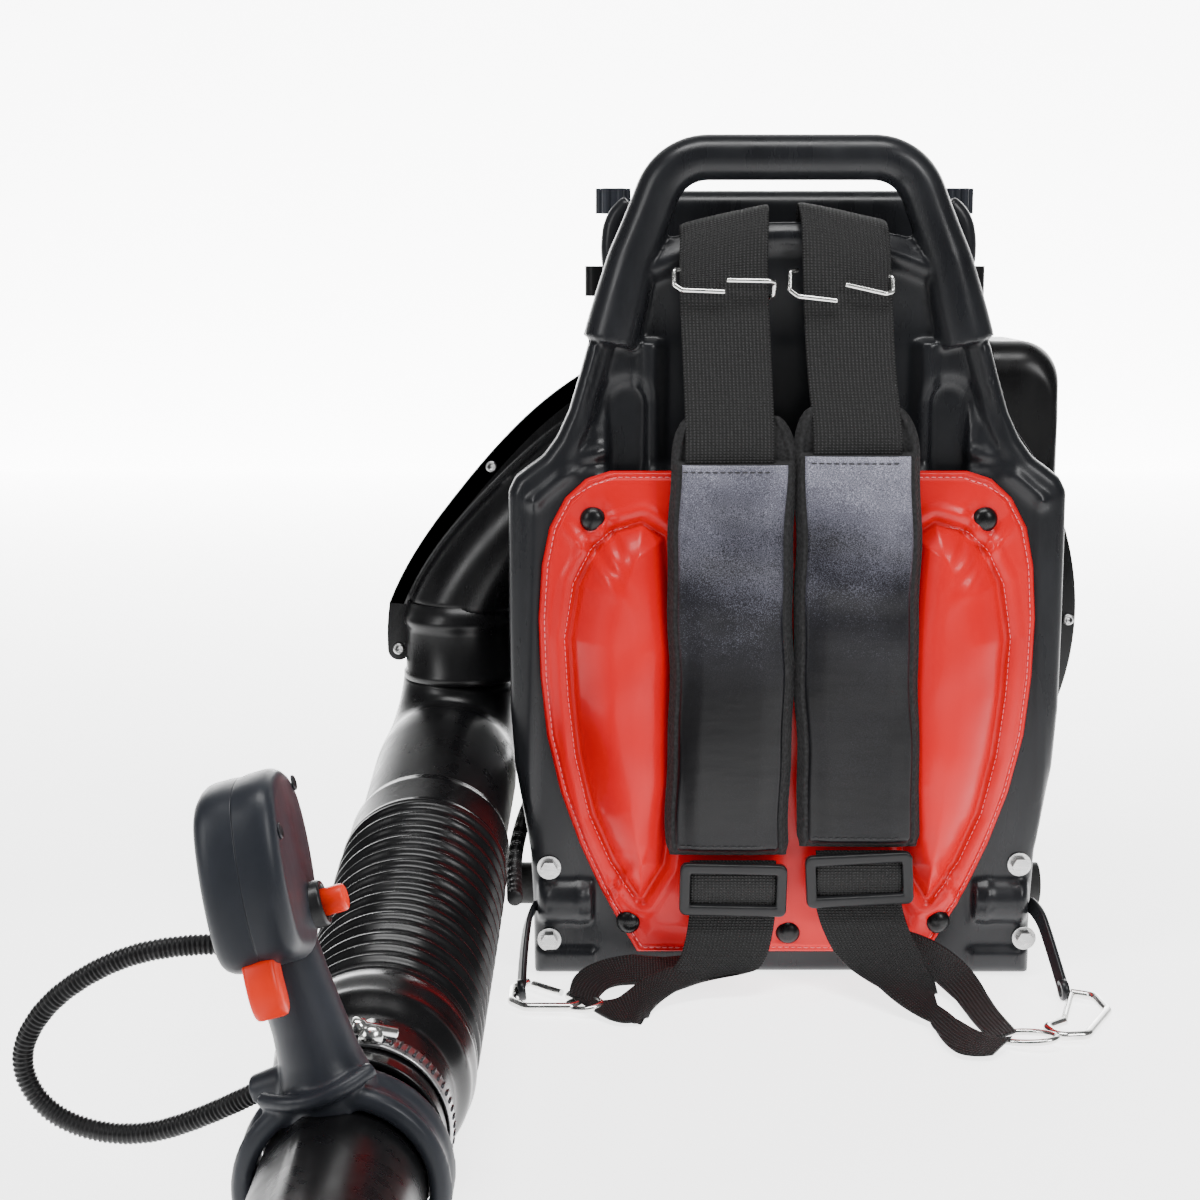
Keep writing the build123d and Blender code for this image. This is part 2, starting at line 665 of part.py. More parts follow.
# ---- air filter ---------------------------------------------------------------------------------------
FILTER_Y = -12.0
with BuildPart() as air_filter_base:
    with BuildSketch(Plane.XY.offset(DUCT_TOP_Z)):
        with Locations((4, FILTER_Y)):
            RectangleRounded(206, 118, 24)
        with Locations((CARB_MOUTH.X - 14, 45)):
            Circle(18, mode=Mode.SUBTRACT)
    extrude(amount=5)
    # latch lugs at both ends
    with BuildSketch(Plane.XY.offset(DUCT_TOP_Z)):
        with Locations((-104, -20), (112, -20)):
            RectangleRounded(26, 30, 6)
    extrude(amount=18)
    # knob studs
    with BuildSketch(Plane.XY.offset(DUCT_TOP_Z + 10)):
        with Locations((-100, -20), (108, -20)):
            Circle(3)
    extrude(amount=46)
save(air_filter_base, "air_filter_base")

with BuildPart() as air_filter_element:
    with BuildSketch(Plane.XY.offset(DUCT_TOP_Z + 5)):
        with Locations((4, FILTER_Y)):
            RectangleRounded(170, 94, 16)
            RectangleRounded(130, 58, 10, mode=Mode.SUBTRACT)
    extrude(amount=38)
save(air_filter_element, "air_filter_element")

COVER_BOTTOM = DUCT_TOP_Z + 5.4
with BuildPart() as air_filter_cover:
    with BuildSketch(Plane.XY.offset(COVER_BOTTOM)):
        with Locations((4, FILTER_Y)):
            RectangleRounded(186, 116, 24)
    extrude(amount=57.6, taper=4)
    fillet(faces().sort_by(Axis.Z)[-1].edges(), radius=12)
    with BuildSketch(Plane.XY.offset(COVER_BOTTOM)):
        with Locations((4, FILTER_Y)):
            RectangleRounded(178, 104, 20)
    extrude(amount=46, mode=Mode.SUBTRACT)
    # ears that the knobs press down
    for x, inner in ((-100, -90), (108, 98)):
        with BuildSketch(Plane.XY.offset(DUCT_TOP_Z + 36)):
            with Locations(((x + inner) / 2, -20)):
                RectangleRounded(30, 26, 6)
            with Locations((x, -20)):
                Circle(3 + LOOSE, mode=Mode.SUBTRACT)
        extrude(amount=13)
    with BuildSketch(Plane.XY.offset(COVER_BOTTOM)):
        with Locations((4, FILTER_Y)):
            RectangleRounded(176, 102, 19)
    extrude(amount=46, mode=Mode.SUBTRACT)
save(air_filter_cover, "air_filter_cover")

KNOB_Z = DUCT_TOP_Z + 49.4
for side, x in (("left", -100), ("right", 108)):
    with BuildPart() as filter_knob:
        with BuildSketch(Plane.XY.offset(KNOB_Z)):
            with Locations((x, -20)):
                Circle(8)
                with PolarLocations(8, 6):
                    Circle(2.6)
                Circle(3 + LOOSE, mode=Mode.SUBTRACT)
        extrude(amount=15)
    save(filter_knob, f"filter_knob_{side}")

# ---- fuel tank ------------------------------------------------------------------------------------------
with BuildPart() as fuel_tank:
    with BuildSketch(Plane.XY.offset(44)):
        with Locations((0, 45)):
            RectangleRounded(50, 62, 10)
    extrude(amount=64)
    with BuildSketch(Plane.XY.offset(18)):
        with Locations((-82, 62), (82, 62)):
            RectangleRounded(84, 100, 14)
    extrude(amount=92)
    with BuildSketch(Plane.XY.offset(60)):
        with Locations((0, 100)):
            Rectangle(120, 16)
    extrude(amount=40)
    with BuildSketch(Plane.XY.offset(110)):
        with Locations((92, 84)):
            Circle(17)
    extrude(amount=8)
save(fuel_tank, "fuel_tank")

with BuildPart() as fuel_cap:
    with BuildSketch(Plane.XY.offset(118 + LOOSE)):
        with Locations((92, 84)):
            Circle(21)
            with PolarLocations(21, 12):
                Circle(2)
    extrude(amount=16)
save(fuel_cap, "fuel_cap")

# ---- recoil starter -----------------------------------------------------------------------------------------
PULLEY_R = 30.0
ROPE_Z = CRANK_Z + PULLEY_R + 0.4
with BuildPart() as recoil_housing:
    with BuildSketch(Plane.XZ.offset(-78)):
        with Locations((0, CRANK_Z)):
            Circle(66)
            Circle(44, mode=Mode.SUBTRACT)
    extrude(amount=-3)
    with BuildSketch(Plane.XZ.offset(-81)):
        with Locations((0, CRANK_Z)):
            Circle(66)
    extrude(amount=-59)
    fillet(faces().sort_by(Axis.Y)[-1].edges(), radius=8)
    with BuildSketch(Plane.XZ.offset(-81)):
        with Locations((0, CRANK_Z)):
            Circle(62)
    extrude(amount=-56, mode=Mode.SUBTRACT)
    # cooling slots, and the rope's eye
    with BuildSketch(Plane.XZ.offset(-130)):
        with Locations((0, CRANK_Z)):
            with PolarLocations(46, 14):
                SlotOverall(20, 5)
    extrude(amount=-12, mode=Mode.SUBTRACT)
    with BuildSketch(Plane.YZ.offset(-70)):
        with Locations((128, ROPE_Z)):
            Circle(4)
    extrude(amount=20, mode=Mode.SUBTRACT)
    # hub pin for the pulley
    with BuildSketch(Plane.XZ.offset(-122)):
        with Locations((0, CRANK_Z)):
            Circle(7)
    extrude(amount=-16)
save(recoil_housing, "recoil_housing")

with BuildPart() as recoil_pulley:
    with BuildSketch(Plane.XZ.offset(-123)):
        with Locations((0, CRANK_Z)):
            Circle(PULLEY_R + 4)
    extrude(amount=-10)
    with BuildSketch(Plane.XZ.offset(-126)):
        with Locations((0, CRANK_Z)):
            Circle(PULLEY_R + 4)
            Circle(PULLEY_R - 2, mode=Mode.SUBTRACT)
    extrude(amount=-4, mode=Mode.SUBTRACT)
    with BuildSketch(Plane.XZ.offset(-123)):
        with Locations((0, CRANK_Z)):
            Circle(7 + RUN_FIT)
    extrude(amount=-10, mode=Mode.SUBTRACT)
save(recoil_pulley, "recoil_pulley")

with BuildPart() as recoil_rope:
    with BuildSketch(Plane.YZ.offset(-86)):
        with Locations((128, ROPE_Z)):
            Circle(2)
    extrude(amount=84)
save(recoil_rope, "recoil_rope")

with BuildPart() as recoil_grip:
    with BuildSketch(Plane.YZ.offset(-100)):
        with Locations((128, ROPE_Z)):
            RectangleRounded(24, 74, 11)
    extrude(amount=14)
    fillet(edges().group_by(Axis.X)[-1], radius=4)
save(recoil_grip, "recoil_grip")

# ---- elbow, corrugated hose and tubes -----------------------------------------------------------------------
ELBOW_ROUTE = [(DUCT_X, FAN_Y, 205), (DUCT_X, FAN_Y, 128), ELBOW_END]
with BuildLine() as elbow_line:
    FilletPolyline(*ELBOW_ROUTE, radius=50)
elbow_wire = elbow_line.wires()[0]

with BuildPart() as elbow_pipe:
    with BuildSketch(Plane(origin=elbow_wire @ 0, z_dir=elbow_wire % 0)):
        Circle(DUCT_R - 2.5 - LOOSE)
        Circle(DUCT_R - 5.5, mode=Mode.SUBTRACT)
    sweep(path=elbow_wire)
    # swivel flange under the collar
    with BuildSketch(Plane.XY.offset(DUCT_BOTTOM - 8)):
        with Locations((DUCT_X, FAN_Y)):
            Circle(DUCT_R + 2)
            Circle(DUCT_R - 3, mode=Mode.SUBTRACT)
    extrude(amount=8 - LOOSE)
save(elbow_pipe, "elbow_pipe")

tube_plane = Plane(origin=TUBE_START, x_dir=(1, 0, 0), z_dir=Vector(*TUBE_END) - Vector(*TUBE_START))
HOSE_ROUTE = [
    Vector(*ELBOW_END) + (Vector(*ELBOW_ROUTE[1]) - Vector(*ELBOW_END)).normalized() * 20,
    Vector(*ELBOW_END), Vector(*HOSE_MIDDLE), Vector(*TUBE_START),
    Vector(*TUBE_START) + tube_plane.z_dir * 18,
]
with BuildLine() as hose_line:
    FilletPolyline(*HOSE_ROUTE, radius=[60, 300, 60])
hose_wire = hose_line.wires()[0]

with BuildPart() as flex_hose:
    with BuildSketch(Plane(origin=hose_wire @ 0, z_dir=hose_wire % 0)):
        Circle(46)
        Circle(42, mode=Mode.SUBTRACT)
    sweep(path=hose_wire)
save(flex_hose, "flex_hose")


def tube_section(start, end, outer, inner, name):
    """A straight round tube on the blow tube's axis, between two stations."""
    with BuildPart() as section:
        with BuildSketch(tube_plane.offset(start)):
            Circle(outer)
            Circle(inner, mode=Mode.SUBTRACT)
        extrude(amount=end - start)
    save(section, name)


with BuildPart() as hose_clamp:
    with BuildSketch(tube_plane.offset(26)):
        Circle(40)
        Circle(37.2, mode=Mode.SUBTRACT)
    extrude(amount=12)
    with BuildSketch(tube_plane.offset(25)):
        with Locations((4, 42)):
            RectangleRounded(16, 8, 2)
    extrude(amount=14)
save(hose_clamp, "hose_clamp")

tube_section(22, 300, TUBE_R, TUBE_R - TUBE_WALL, "control_tube")
tube_section(286, 560, TUBE_R + 2.4, TUBE_R + 0.01, "straight_tube")

NOZZLE_R = 33.0
with BuildPart() as nozzle:
    with BuildSketch(tube_plane.offset(546)):
        Circle(39.3)
        Circle(TUBE_R + 2.4 + RUN_FIT, mode=Mode.SUBTRACT)
    extrude(amount=54)
    with BuildSketch(tube_plane.offset(600)):
        Circle(39.3)
    with BuildSketch(tube_plane.offset(770)):
        Circle(NOZZLE_R)
    loft()
    with BuildSketch(tube_plane.offset(600)):
        Circle(TUBE_R + 2.4 + RUN_FIT)
    with BuildSketch(tube_plane.offset(770)):
        Circle(NOZZLE_R - 2.2)
    loft(mode=Mode.SUBTRACT)
    # straight mouth
    with BuildSketch(tube_plane.offset(770)):
        Circle(NOZZLE_R)
        Circle(NOZZLE_R - 2.2, mode=Mode.SUBTRACT)
    extrude(amount=30)
save(nozzle, "nozzle")

# ---- handle: ring, grip shells, trigger, stop switch -----------------------------------------------------------
ring_centre = tube_plane.offset(RING_STATION).origin
grip_up = Vector(-sin(radians(GRIP_TILT)), 0.09, cos(radians(GRIP_TILT))).normalized()
grip_side = Vector(cos(radians(GRIP_TILT)), 0, sin(radians(GRIP_TILT)))
# grip frame: x to the side, y towards the machine, z up along the grip
grip_plane = Plane(origin=ring_centre, x_dir=grip_side, z_dir=grip_up)
# side plane: its x runs back towards the machine and its y up the grip
side_plane = Plane(origin=ring_centre, x_dir=grip_plane.y_dir, z_dir=grip_side)

with BuildPart() as handle_clamp:
    with BuildSketch(tube_plane.offset(RING_STATION - 13)):
        Circle(44)
    extrude(amount=26)
    fillet(edges().filter_by(GeomType.CIRCLE), radius=5)
    with BuildSketch(grip_plane.offset(30)):
        RectangleRounded(40, 40, 12)
    with BuildSketch(grip_plane.offset(64)):
        RectangleRounded(34, 36, 11)
    loft()
    with BuildSketch(tube_plane.offset(RING_STATION - 40)):
        Circle(TUBE_R)
    extrude(amount=80, mode=Mode.SUBTRACT)
save(handle_clamp, "handle_clamp")

HEAD_W = 36.0
with BuildPart() as grip_body:
    with BuildSketch(side_plane.offset(-HEAD_W / 2)):
        with BuildLine():
            Polyline((17, 64), (-16, 64), (-18, 100), (-44, 112), (-50, 140), (-36, 172),
                     (0, 178), (28, 164), (32, 130), (18, 106), close=True)
        make_face()
        fillet(vertices().sort_by(Axis.Z)[-6:], radius=12)
    extrude(amount=HEAD_W)
    # room for the trigger
    with BuildSketch(side_plane.offset(-7)):
        with BuildLine():
            Polyline((-12, 84), (-60, 60), (-60, 118), (-22, 122), (-12, 112), close=True)
        make_face()
    extrude(amount=14, mode=Mode.SUBTRACT)

for name, kept in (("grip_shell_left", Keep.BOTTOM), ("grip_shell_right", Keep.TOP)):
    with BuildPart() as grip_shell:
        add(grip_body.part)
        split(bisect_by=side_plane, keep=kept)
    save(grip_shell, name)

with BuildPart() as trigger:
    with BuildSketch(side_plane.offset(-6)):
        with BuildLine():
            Polyline((-24, 112), (-24, 116), (-32, 116), (-42, 104), (-40, 78), (-34, 74), (-31, 80), (-32, 98), close=True)
        make_face()
    extrude(amount=12)
    fillet(edges().filter_by(Axis((0, 0, 0), grip_side)), radius=1.5)
save(trigger, "trigger")

SWITCH = (4.0, 110.0)
with BuildPart() as stop_switch:
    with BuildSketch(side_plane.offset(HEAD_W / 2)):
        with Locations(SWITCH):
            Circle(10)
            Circle(7.3, mode=Mode.SUBTRACT)
    extrude(amount=9)
    with BuildSketch(side_plane.offset(HEAD_W / 2)):
        with Locations(SWITCH):
            Circle(10)
    extrude(amount=1.5)
save(stop_switch, "stop_switch")

with BuildPart() as stop_button:
    with BuildSketch(side_plane.offset(HEAD_W / 2 + 5)):
        with Locations(SWITCH):
            Circle(6.9)
    extrude(amount=13)
    fillet(edges().group_by(Axis((0, 0, 0), grip_side))[-1], radius=1.5)
save(stop_button, "stop_button")

# ---- throttle loom -----------------------------------------------------------------------------------------------
# The free loop at the handle, from the grip's head round to the clamp's left side.
LOOP_ROUTE = [
    (-262, -492, 140.5), (-285, -491, 140), (-314, -488, 131), (-341, -486, 112), (-354, -484, 87),
    (-342, -484, 63), (-313, -487, 54), (-281, -492, 61), (-252, -500, 78),
]
loop_bends = route_bends(LOOP_ROUTE)
with BuildPart() as throttle_loom_loop:
    add(rod(LOOP_ROUTE, loop_bends, LOOM_D / 2))
save(throttle_loom_loop, "throttle_loom_loop")

# From the hose's cuff past the frame's edge to the carburettor side of the crankcase.
ENGINE_ROUTE = [
    (-156, -176, 64), (-158, -140, 62), (-159, -100, 70), (-154, -60, 84), (-144, -20, 98),
    (-130, 20, 120), (-94, 42, 152), (-46.4, 45, 178),
]
engine_bends = route_bends(ENGINE_ROUTE)
with BuildPart() as throttle_loom_engine_run:
    add(rod(ENGINE_ROUTE, engine_bends, LOOM_D / 2))
save(throttle_loom_engine_run, "throttle_loom_engine_run")
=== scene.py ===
from math import cos, pi, radians, sin, sqrt

import bmesh
import bpy
import numpy as np
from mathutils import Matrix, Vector


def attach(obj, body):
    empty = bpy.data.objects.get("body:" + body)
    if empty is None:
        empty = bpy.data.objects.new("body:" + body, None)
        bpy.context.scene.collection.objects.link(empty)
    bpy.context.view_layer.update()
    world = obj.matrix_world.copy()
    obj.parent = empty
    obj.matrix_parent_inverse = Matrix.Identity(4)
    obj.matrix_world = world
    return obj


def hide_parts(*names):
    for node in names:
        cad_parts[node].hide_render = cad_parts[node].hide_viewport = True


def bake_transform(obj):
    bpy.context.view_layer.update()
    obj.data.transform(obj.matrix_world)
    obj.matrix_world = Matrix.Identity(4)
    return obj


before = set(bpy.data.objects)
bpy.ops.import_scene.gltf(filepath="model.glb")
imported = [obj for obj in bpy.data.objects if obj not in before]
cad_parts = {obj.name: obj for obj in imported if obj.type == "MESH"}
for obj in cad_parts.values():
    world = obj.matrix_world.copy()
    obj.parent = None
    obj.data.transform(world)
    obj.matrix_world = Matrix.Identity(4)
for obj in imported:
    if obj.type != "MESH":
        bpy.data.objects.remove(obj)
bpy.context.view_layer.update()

# Lengths below are in millimetres and become metres when a mesh is written.
MM = 0.001

# ---- places shared with the CAD model ----
FRAME_FRONT = -120.0
FRAME_MID = -107.5
FRAME_BACK = -95.0
HANDLE_TOP = 477.0          # centre line of the carrying handle
CRANK_Z = 195.0
FAN_Y = -40.0
SCROLL_HALF = 46.0
DUCT_BOTTOM = 165.0
DUCT_X = -198.0
COLLAR_X, COLLAR_R = -193.0, 33.5
TUBE_START = np.array([-212.0, -430.0, 49.0])
TUBE_END = np.array([-218.0, -1230.0, 36.5])
TUBE_AXIS = (TUBE_END - TUBE_START) / np.linalg.norm(TUBE_END - TUBE_START)
ELBOW_END = np.array([-206.0, -165.0, 85.0])
HOSE_MIDDLE = np.array([-210.0, -290.0, 58.0])
ELBOW_CORNER = np.array([DUCT_X, FAN_Y, 128.0])
RING_STATION = 85.0
GRIP_TILT = radians(16)
LOOM_D = 9.0


# ---- camera ----
def add_camera():
    data = bpy.data.cameras.new("camera")
    data.lens = 64.53
    data.sensor_width = 36.0
    data.clip_start = 0.01
    camera = bpy.data.objects.new("camera", data)
    camera.location = (-0.108, -1.348, 0.420)
    camera.rotation_euler = (radians(90 - 9), 0, 0)
    bpy.context.collection.objects.link(camera)
    bpy.context.scene.camera = camera


add_camera()


# ---- mesh helpers ----
def smooth_step(low, high, value):
    t = np.clip((value - low) / (high - low), 0, 1)
    return t * t * (3 - 2 * t)


def bump_at(value, centre, half_width):
    """1 at the centre, falling smoothly to 0 at half_width to each side."""
    return 1 - smooth_step(0, half_width, np.abs(value - centre))


def distances(points):
    """Distance of each point from the first, along the line."""
    return np.concatenate([[0], np.cumsum(np.linalg.norm(np.diff(points, axis=0), axis=1))])


def unit(vector):
    return vector / np.linalg.norm(vector)


def make_object(name, points, faces, material, uv=None):
    """A smooth-shaded mesh object from points in millimetres."""
    mesh = bpy.data.meshes.new(name)
    mesh.from_pydata((np.asarray(points) * MM).tolist(), [], faces)
    mesh.validate()
    mesh.polygons.foreach_set("use_smooth", [True] * len(mesh.polygons))
    if uv is not None:
        layer = mesh.uv_layers.new(name="UVMap")
        index = np.empty(len(mesh.loops), dtype=np.int32)
        mesh.loops.foreach_get("vertex_index", index)
        layer.data.foreach_set("uv", (np.asarray(uv)[index] * MM).ravel())
    mesh.update()
    obj = bpy.data.objects.new(name, mesh)
    bpy.context.collection.objects.link(obj)
    if material is not None:
        mesh.materials.append(material)
    return obj


def grid_faces(rows, columns, start=0, wrap=False, flip=False):
    """Quads of a rows by columns grid of points, closed across its columns if wrap."""
    faces = []
    last = columns if wrap else columns - 1
    for r in range(rows - 1):
        for c in range(last):
            d = (c + 1) % columns
            quad = (start + r * columns + c, start + r * columns + d,
                    start + (r + 1) * columns + d, start + (r + 1) * columns + c)
            faces.append(quad[::-1] if flip else quad)
    return faces


def end_caps(rows, sides):
    """The two end faces of a tube made of rows rings."""
    return [tuple(range(sides))[::-1], tuple((rows - 1) * sides + c for c in range(sides))]


def rim_faces(rows, sides, base):
    """Faces that join an outer tube to its inner wall, whose points start at base."""
    faces = []
    end = (rows - 1) * sides
    for c in range(sides):
        d = (c + 1) % sides
        faces.append((c, base + c, base + d, d))
        faces.append((end + d, base + end + d, base + end + c, end + c))
    return faces


def sheet_faces(rows, columns):
    """Faces of a closed sheet: a front grid, a back grid after it, and the four edges."""
    size = rows * columns
    faces = grid_faces(rows, columns) + grid_faces(rows, columns, start=size, flip=True)
    for r in range(rows - 1):
        a, b = r * columns, (r + 1) * columns
        faces.append((a, b, size + b, size + a))
        a, b = a + columns - 1, b + columns - 1
        faces.append((b, a, size + a, size + b))
    last = (rows - 1) * columns
    for c in range(columns - 1):
        faces.append((c + 1, c, size + c, size + c + 1))
        faces.append((last + c, last + c + 1, size + last + c + 1, size + last + c))
    return faces


def sweep(name, path, radii, material, sides=40, squash=1.0, inner=None):
    """A round tube along a path. Radii may change along it; inner makes it hollow."""
    path = np.asarray(path, float)
    count = len(path)
    radii = np.broadcast_to(np.asarray(radii, float), (count,))
    tangents = np.gradient(path, axis=0)
    tangents /= np.linalg.norm(tangents, axis=1)[:, None]
    side = np.cross(tangents[0], (0, 0, 1.0))
    if np.linalg.norm(side) < 0.1:
        side = np.array([1.0, 0, 0])
    side /= np.linalg.norm(side)
    along = distances(path)
    angles = np.linspace(0, 2 * pi, sides, endpoint=False)
    rings, inner_rings, uvs = [], [], []
    for i in range(count):
        side = side - tangents[i] * side.dot(tangents[i])
        side /= np.linalg.norm(side)
        up = np.cross(tangents[i], side)
        ring = np.outer(np.cos(angles), side) + np.outer(np.sin(angles) * squash, up)
        rings.append(path[i] + ring * radii[i])
        uvs.append(np.stack([angles * radii[0], np.full(sides, along[i])], axis=1))
        if inner is not None:
            inner_rings.append(path[i] + ring * (radii[i] - inner))
    points = np.concatenate(rings)
    faces = grid_faces(count, sides, wrap=True)
    if inner is not None:
        base = len(points)
        points = np.concatenate([points] + inner_rings)
        uvs = uvs + uvs
        faces += grid_faces(count, sides, start=base, wrap=True, flip=True)
        faces += rim_faces(count, sides, base)
    else:
        faces += end_caps(count, sides)
    return make_object(name, points, faces, material, uv=np.concatenate(uvs))


def lathe(name, profile, origin, axis, material, sides=64, closed=True):
    """Turn a profile of (distance along, radius) points about an axis."""
    origin = np.asarray(origin, float)
    axis = unit(np.asarray(axis, float))
    side = np.cross(axis, (0, 0, 1.0) if abs(axis[2]) < 0.9 else (1.0, 0, 0))
    side /= np.linalg.norm(side)
    up = np.cross(axis, side)
    angles = np.linspace(0, 2 * pi, sides, endpoint=False)
    ring = np.outer(np.cos(angles), side) + np.outer(np.sin(angles), up)
    points = np.concatenate([origin + axis * s + ring * r for s, r in profile])
    rows = len(profile)
    faces = grid_faces(rows, sides, wrap=True)
    if closed:
        for c in range(sides):
            d = (c + 1) % sides
            end = (rows - 1) * sides
            faces.append((end + c, end + d, d, c))
    else:
        faces += end_caps(rows, sides)
    return make_object(name, points, faces, material)


def polyline_distance(x, z, outline):
    """Distance from each point to a closed outline."""
    best = np.full(x.shape, 1e9)
    closed = list(outline) + [outline[0]]
    for (ax, az), (bx, bz) in zip(closed, closed[1:]):
        dx, dz = bx - ax, bz - az
        length = dx * dx + dz * dz
        if length == 0:
            continue
        t = np.clip(((x - ax) * dx + (z - az) * dz) / length, 0, 1)
        best = np.minimum(best, np.hypot(x - ax - t * dx, z - az - t * dz))
    return best


def relief(name, half_width, z_range, front, back, material, columns=200, rows=280, top_drop=None):
    """A closed plate whose rows run from -half_width(z) to +half_width(z).

    front(x, z) and back(x, z) give the Y of its two faces."""
    t = np.linspace(-1, 1, columns)
    u = np.sin(t * pi / 2) * 0.35 + t * 0.65
    v = np.linspace(0, 1, rows)
    z = z_range[0] + (z_range[1] - z_range[0]) * np.repeat(v[:, None], columns, axis=1)
    if top_drop is not None:
        z = z - top_drop(u)[None, :] * (v[:, None] ** 10)
    x = u[None, :] * half_width(z)
    y_front = front(x, z)
    y_back = back(x, z)
    points = np.concatenate([
        np.stack([x, y_front, z], axis=-1).reshape(-1, 3),
        np.stack([x, y_back, z], axis=-1).reshape(-1, 3),
    ])
    return make_object(name, points, sheet_faces(rows, columns), material)


def apply_modifiers(obj):
    bpy.context.view_layer.update()
    graph = bpy.context.evaluated_depsgraph_get()
    mesh = bpy.data.meshes.new_from_object(obj.evaluated_get(graph))
    materials = [m for m in obj.data.materials]
    obj.modifiers.clear()
    obj.data = mesh
    if not mesh.materials:
        for m in materials:
            mesh.materials.append(m)
    mesh.polygons.foreach_set("use_smooth", [True] * len(mesh.polygons))
    return obj


def join(name, objects, material):
    """One mesh from several objects, which are removed."""
    points, faces = [], []
    for obj in objects:
        start = len(points)
        points += [v.co[:] for v in obj.data.vertices]
        faces += [[start + i for i in p.vertices] for p in obj.data.polygons]
        bpy.data.objects.remove(obj)
    return make_object(name, np.array(points) / MM, faces, material)


def weld(name, objects, voxel, smooth, material):
    """Join closed meshes into one skin by voxel remesh, then smooth it."""
    skin = join(name, objects, material)
    remesh = skin.modifiers.new("skin", "REMESH")
    remesh.mode = "VOXEL"
    remesh.voxel_size = voxel * MM
    if smooth:
        relax = skin.modifiers.new("relax", "SMOOTH")
        relax.factor = 0.5
        relax.iterations = smooth
    return apply_modifiers(skin)


def rounded_path(corners, radii, step=2.0):
    """Points along straight runs joined by tangent arcs."""
    corners = [np.asarray(c, float) for c in corners]
    points = [corners[0]]
    for before, here, after, radius in zip(corners, corners[1:], corners[2:], radii):
        a = unit(before - here)
        b = unit(after - here)
        half = np.arccos(np.clip(a.dot(b), -1, 1)) / 2
        reach = radius / np.tan(half)
        centre = here + unit(a + b) * (radius / np.sin(half))
        first, last = here + a * reach, here + b * reach
        count = max(3, int(radius * (pi - 2 * half) / step))
        for t in np.linspace(0, 1, count):
            chord = (first * (1 - t) + last * t) - centre
            points.append(centre + unit(chord) * radius)
    points.append(corners[-1])
    return resample(points, step)


def rounded_outline(corners, radii, step=2.0):
    """A closed outline of (x, z) corners with rounded corners, evenly spaced."""
    ring = [np.array([x, 0.0, z]) for x, z in corners]
    middle = (ring[0] + ring[-1]) / 2
    line = rounded_path([middle] + ring + [middle], radii, step)
    return line[:-1][:, [0, 2]]


def inset_outline(loop, distance):
    """The outline moved inwards along its normals. It may run either way round."""
    ahead, behind = np.roll(loop, -1, axis=0), np.roll(loop, 1, axis=0)
    tangent = ahead - behind
    tangent /= np.linalg.norm(tangent, axis=1)[:, None]
    area = np.sum(loop[:, 0] * ahead[:, 1] - ahead[:, 0] * loop[:, 1])
    normal = np.stack([-tangent[:, 1], tangent[:, 0]], -1) * (1 if area > 0 else -1)
    return loop + normal * distance


def pillow(name, loop, front, back, edge, material, hole=None, place=None):
    """A slab between two Y planes with rounded edges, or a ring if hole is its border width."""
    turns = np.linspace(0, pi / 2, 6)
    rows = [(edge * (1 - sin(t)), back - edge * (1 - cos(t))) for t in turns]
    rows += [(edge * (1 - cos(t)), front + edge * (1 - sin(t))) for t in turns]
    if hole is not None:
        rows += [(hole - edge * (1 - sin(t)), front + edge * (1 - cos(t))) for t in turns]
        rows += [(hole - edge * (1 - cos(t)), back - edge * (1 - sin(t))) for t in turns]
    points = []
    for inset, y in rows:
        ring = inset_outline(loop, inset)
        points.append(np.stack([ring[:, 0], np.full(len(ring), y), ring[:, 1]], -1))
    count = len(loop)
    points = np.concatenate(points)
    if place is not None:
        points = place(points)
    faces = grid_faces(len(rows), count, wrap=True)
    if hole is not None:
        last = (len(rows) - 1) * count
        faces += [(last + c, last + (c + 1) % count, (c + 1) % count, c) for c in range(count)]
    else:
        faces += end_caps(len(rows), count)
    made = make_object(name, points, faces, material)
    return facing_out(made)


def facing_out(obj):
    """Turn every face outwards."""
    made = bmesh.new()
    made.from_mesh(obj.data)
    bmesh.ops.recalc_face_normals(made, faces=made.faces)
    made.to_mesh(obj.data)
    made.free()
    return obj


def resample(points, step):
    points = np.asarray(points, float)
    along = distances(points)
    count = max(2, int(round(along[-1] / step)) + 1)
    targets = np.linspace(0, along[-1], count)
    return np.stack([np.interp(targets, along, points[:, k]) for k in range(3)], axis=1)


def path_length(points):
    return float(np.linalg.norm(np.diff(np.asarray(points), axis=0), axis=1).sum())


def nurbs_points(route, resolution=16):
    """The smooth line of a cord: a NURBS spline with the route's points as control points."""
    curve = bpy.data.curves.new("route", "CURVE")
    curve.dimensions = "3D"
    spline = curve.splines.new("NURBS")
    spline.points.add(len(route) - 1)
    for point, place in zip(spline.points, route):
        point.co = (*[c * MM for c in place], 1)
    spline.order_u = 3
    spline.use_endpoint_u = True
    spline.resolution_u = resolution
    obj = bpy.data.objects.new("route", curve)
    bpy.context.collection.objects.link(obj)
    bpy.context.view_layer.update()
    mesh = bpy.data.meshes.new_from_object(obj)
    points = np.array([v.co[:] for v in mesh.vertices]) / MM
    bpy.data.objects.remove(obj)
    bpy.data.curves.remove(curve)
    bpy.data.meshes.remove(mesh)
    return points


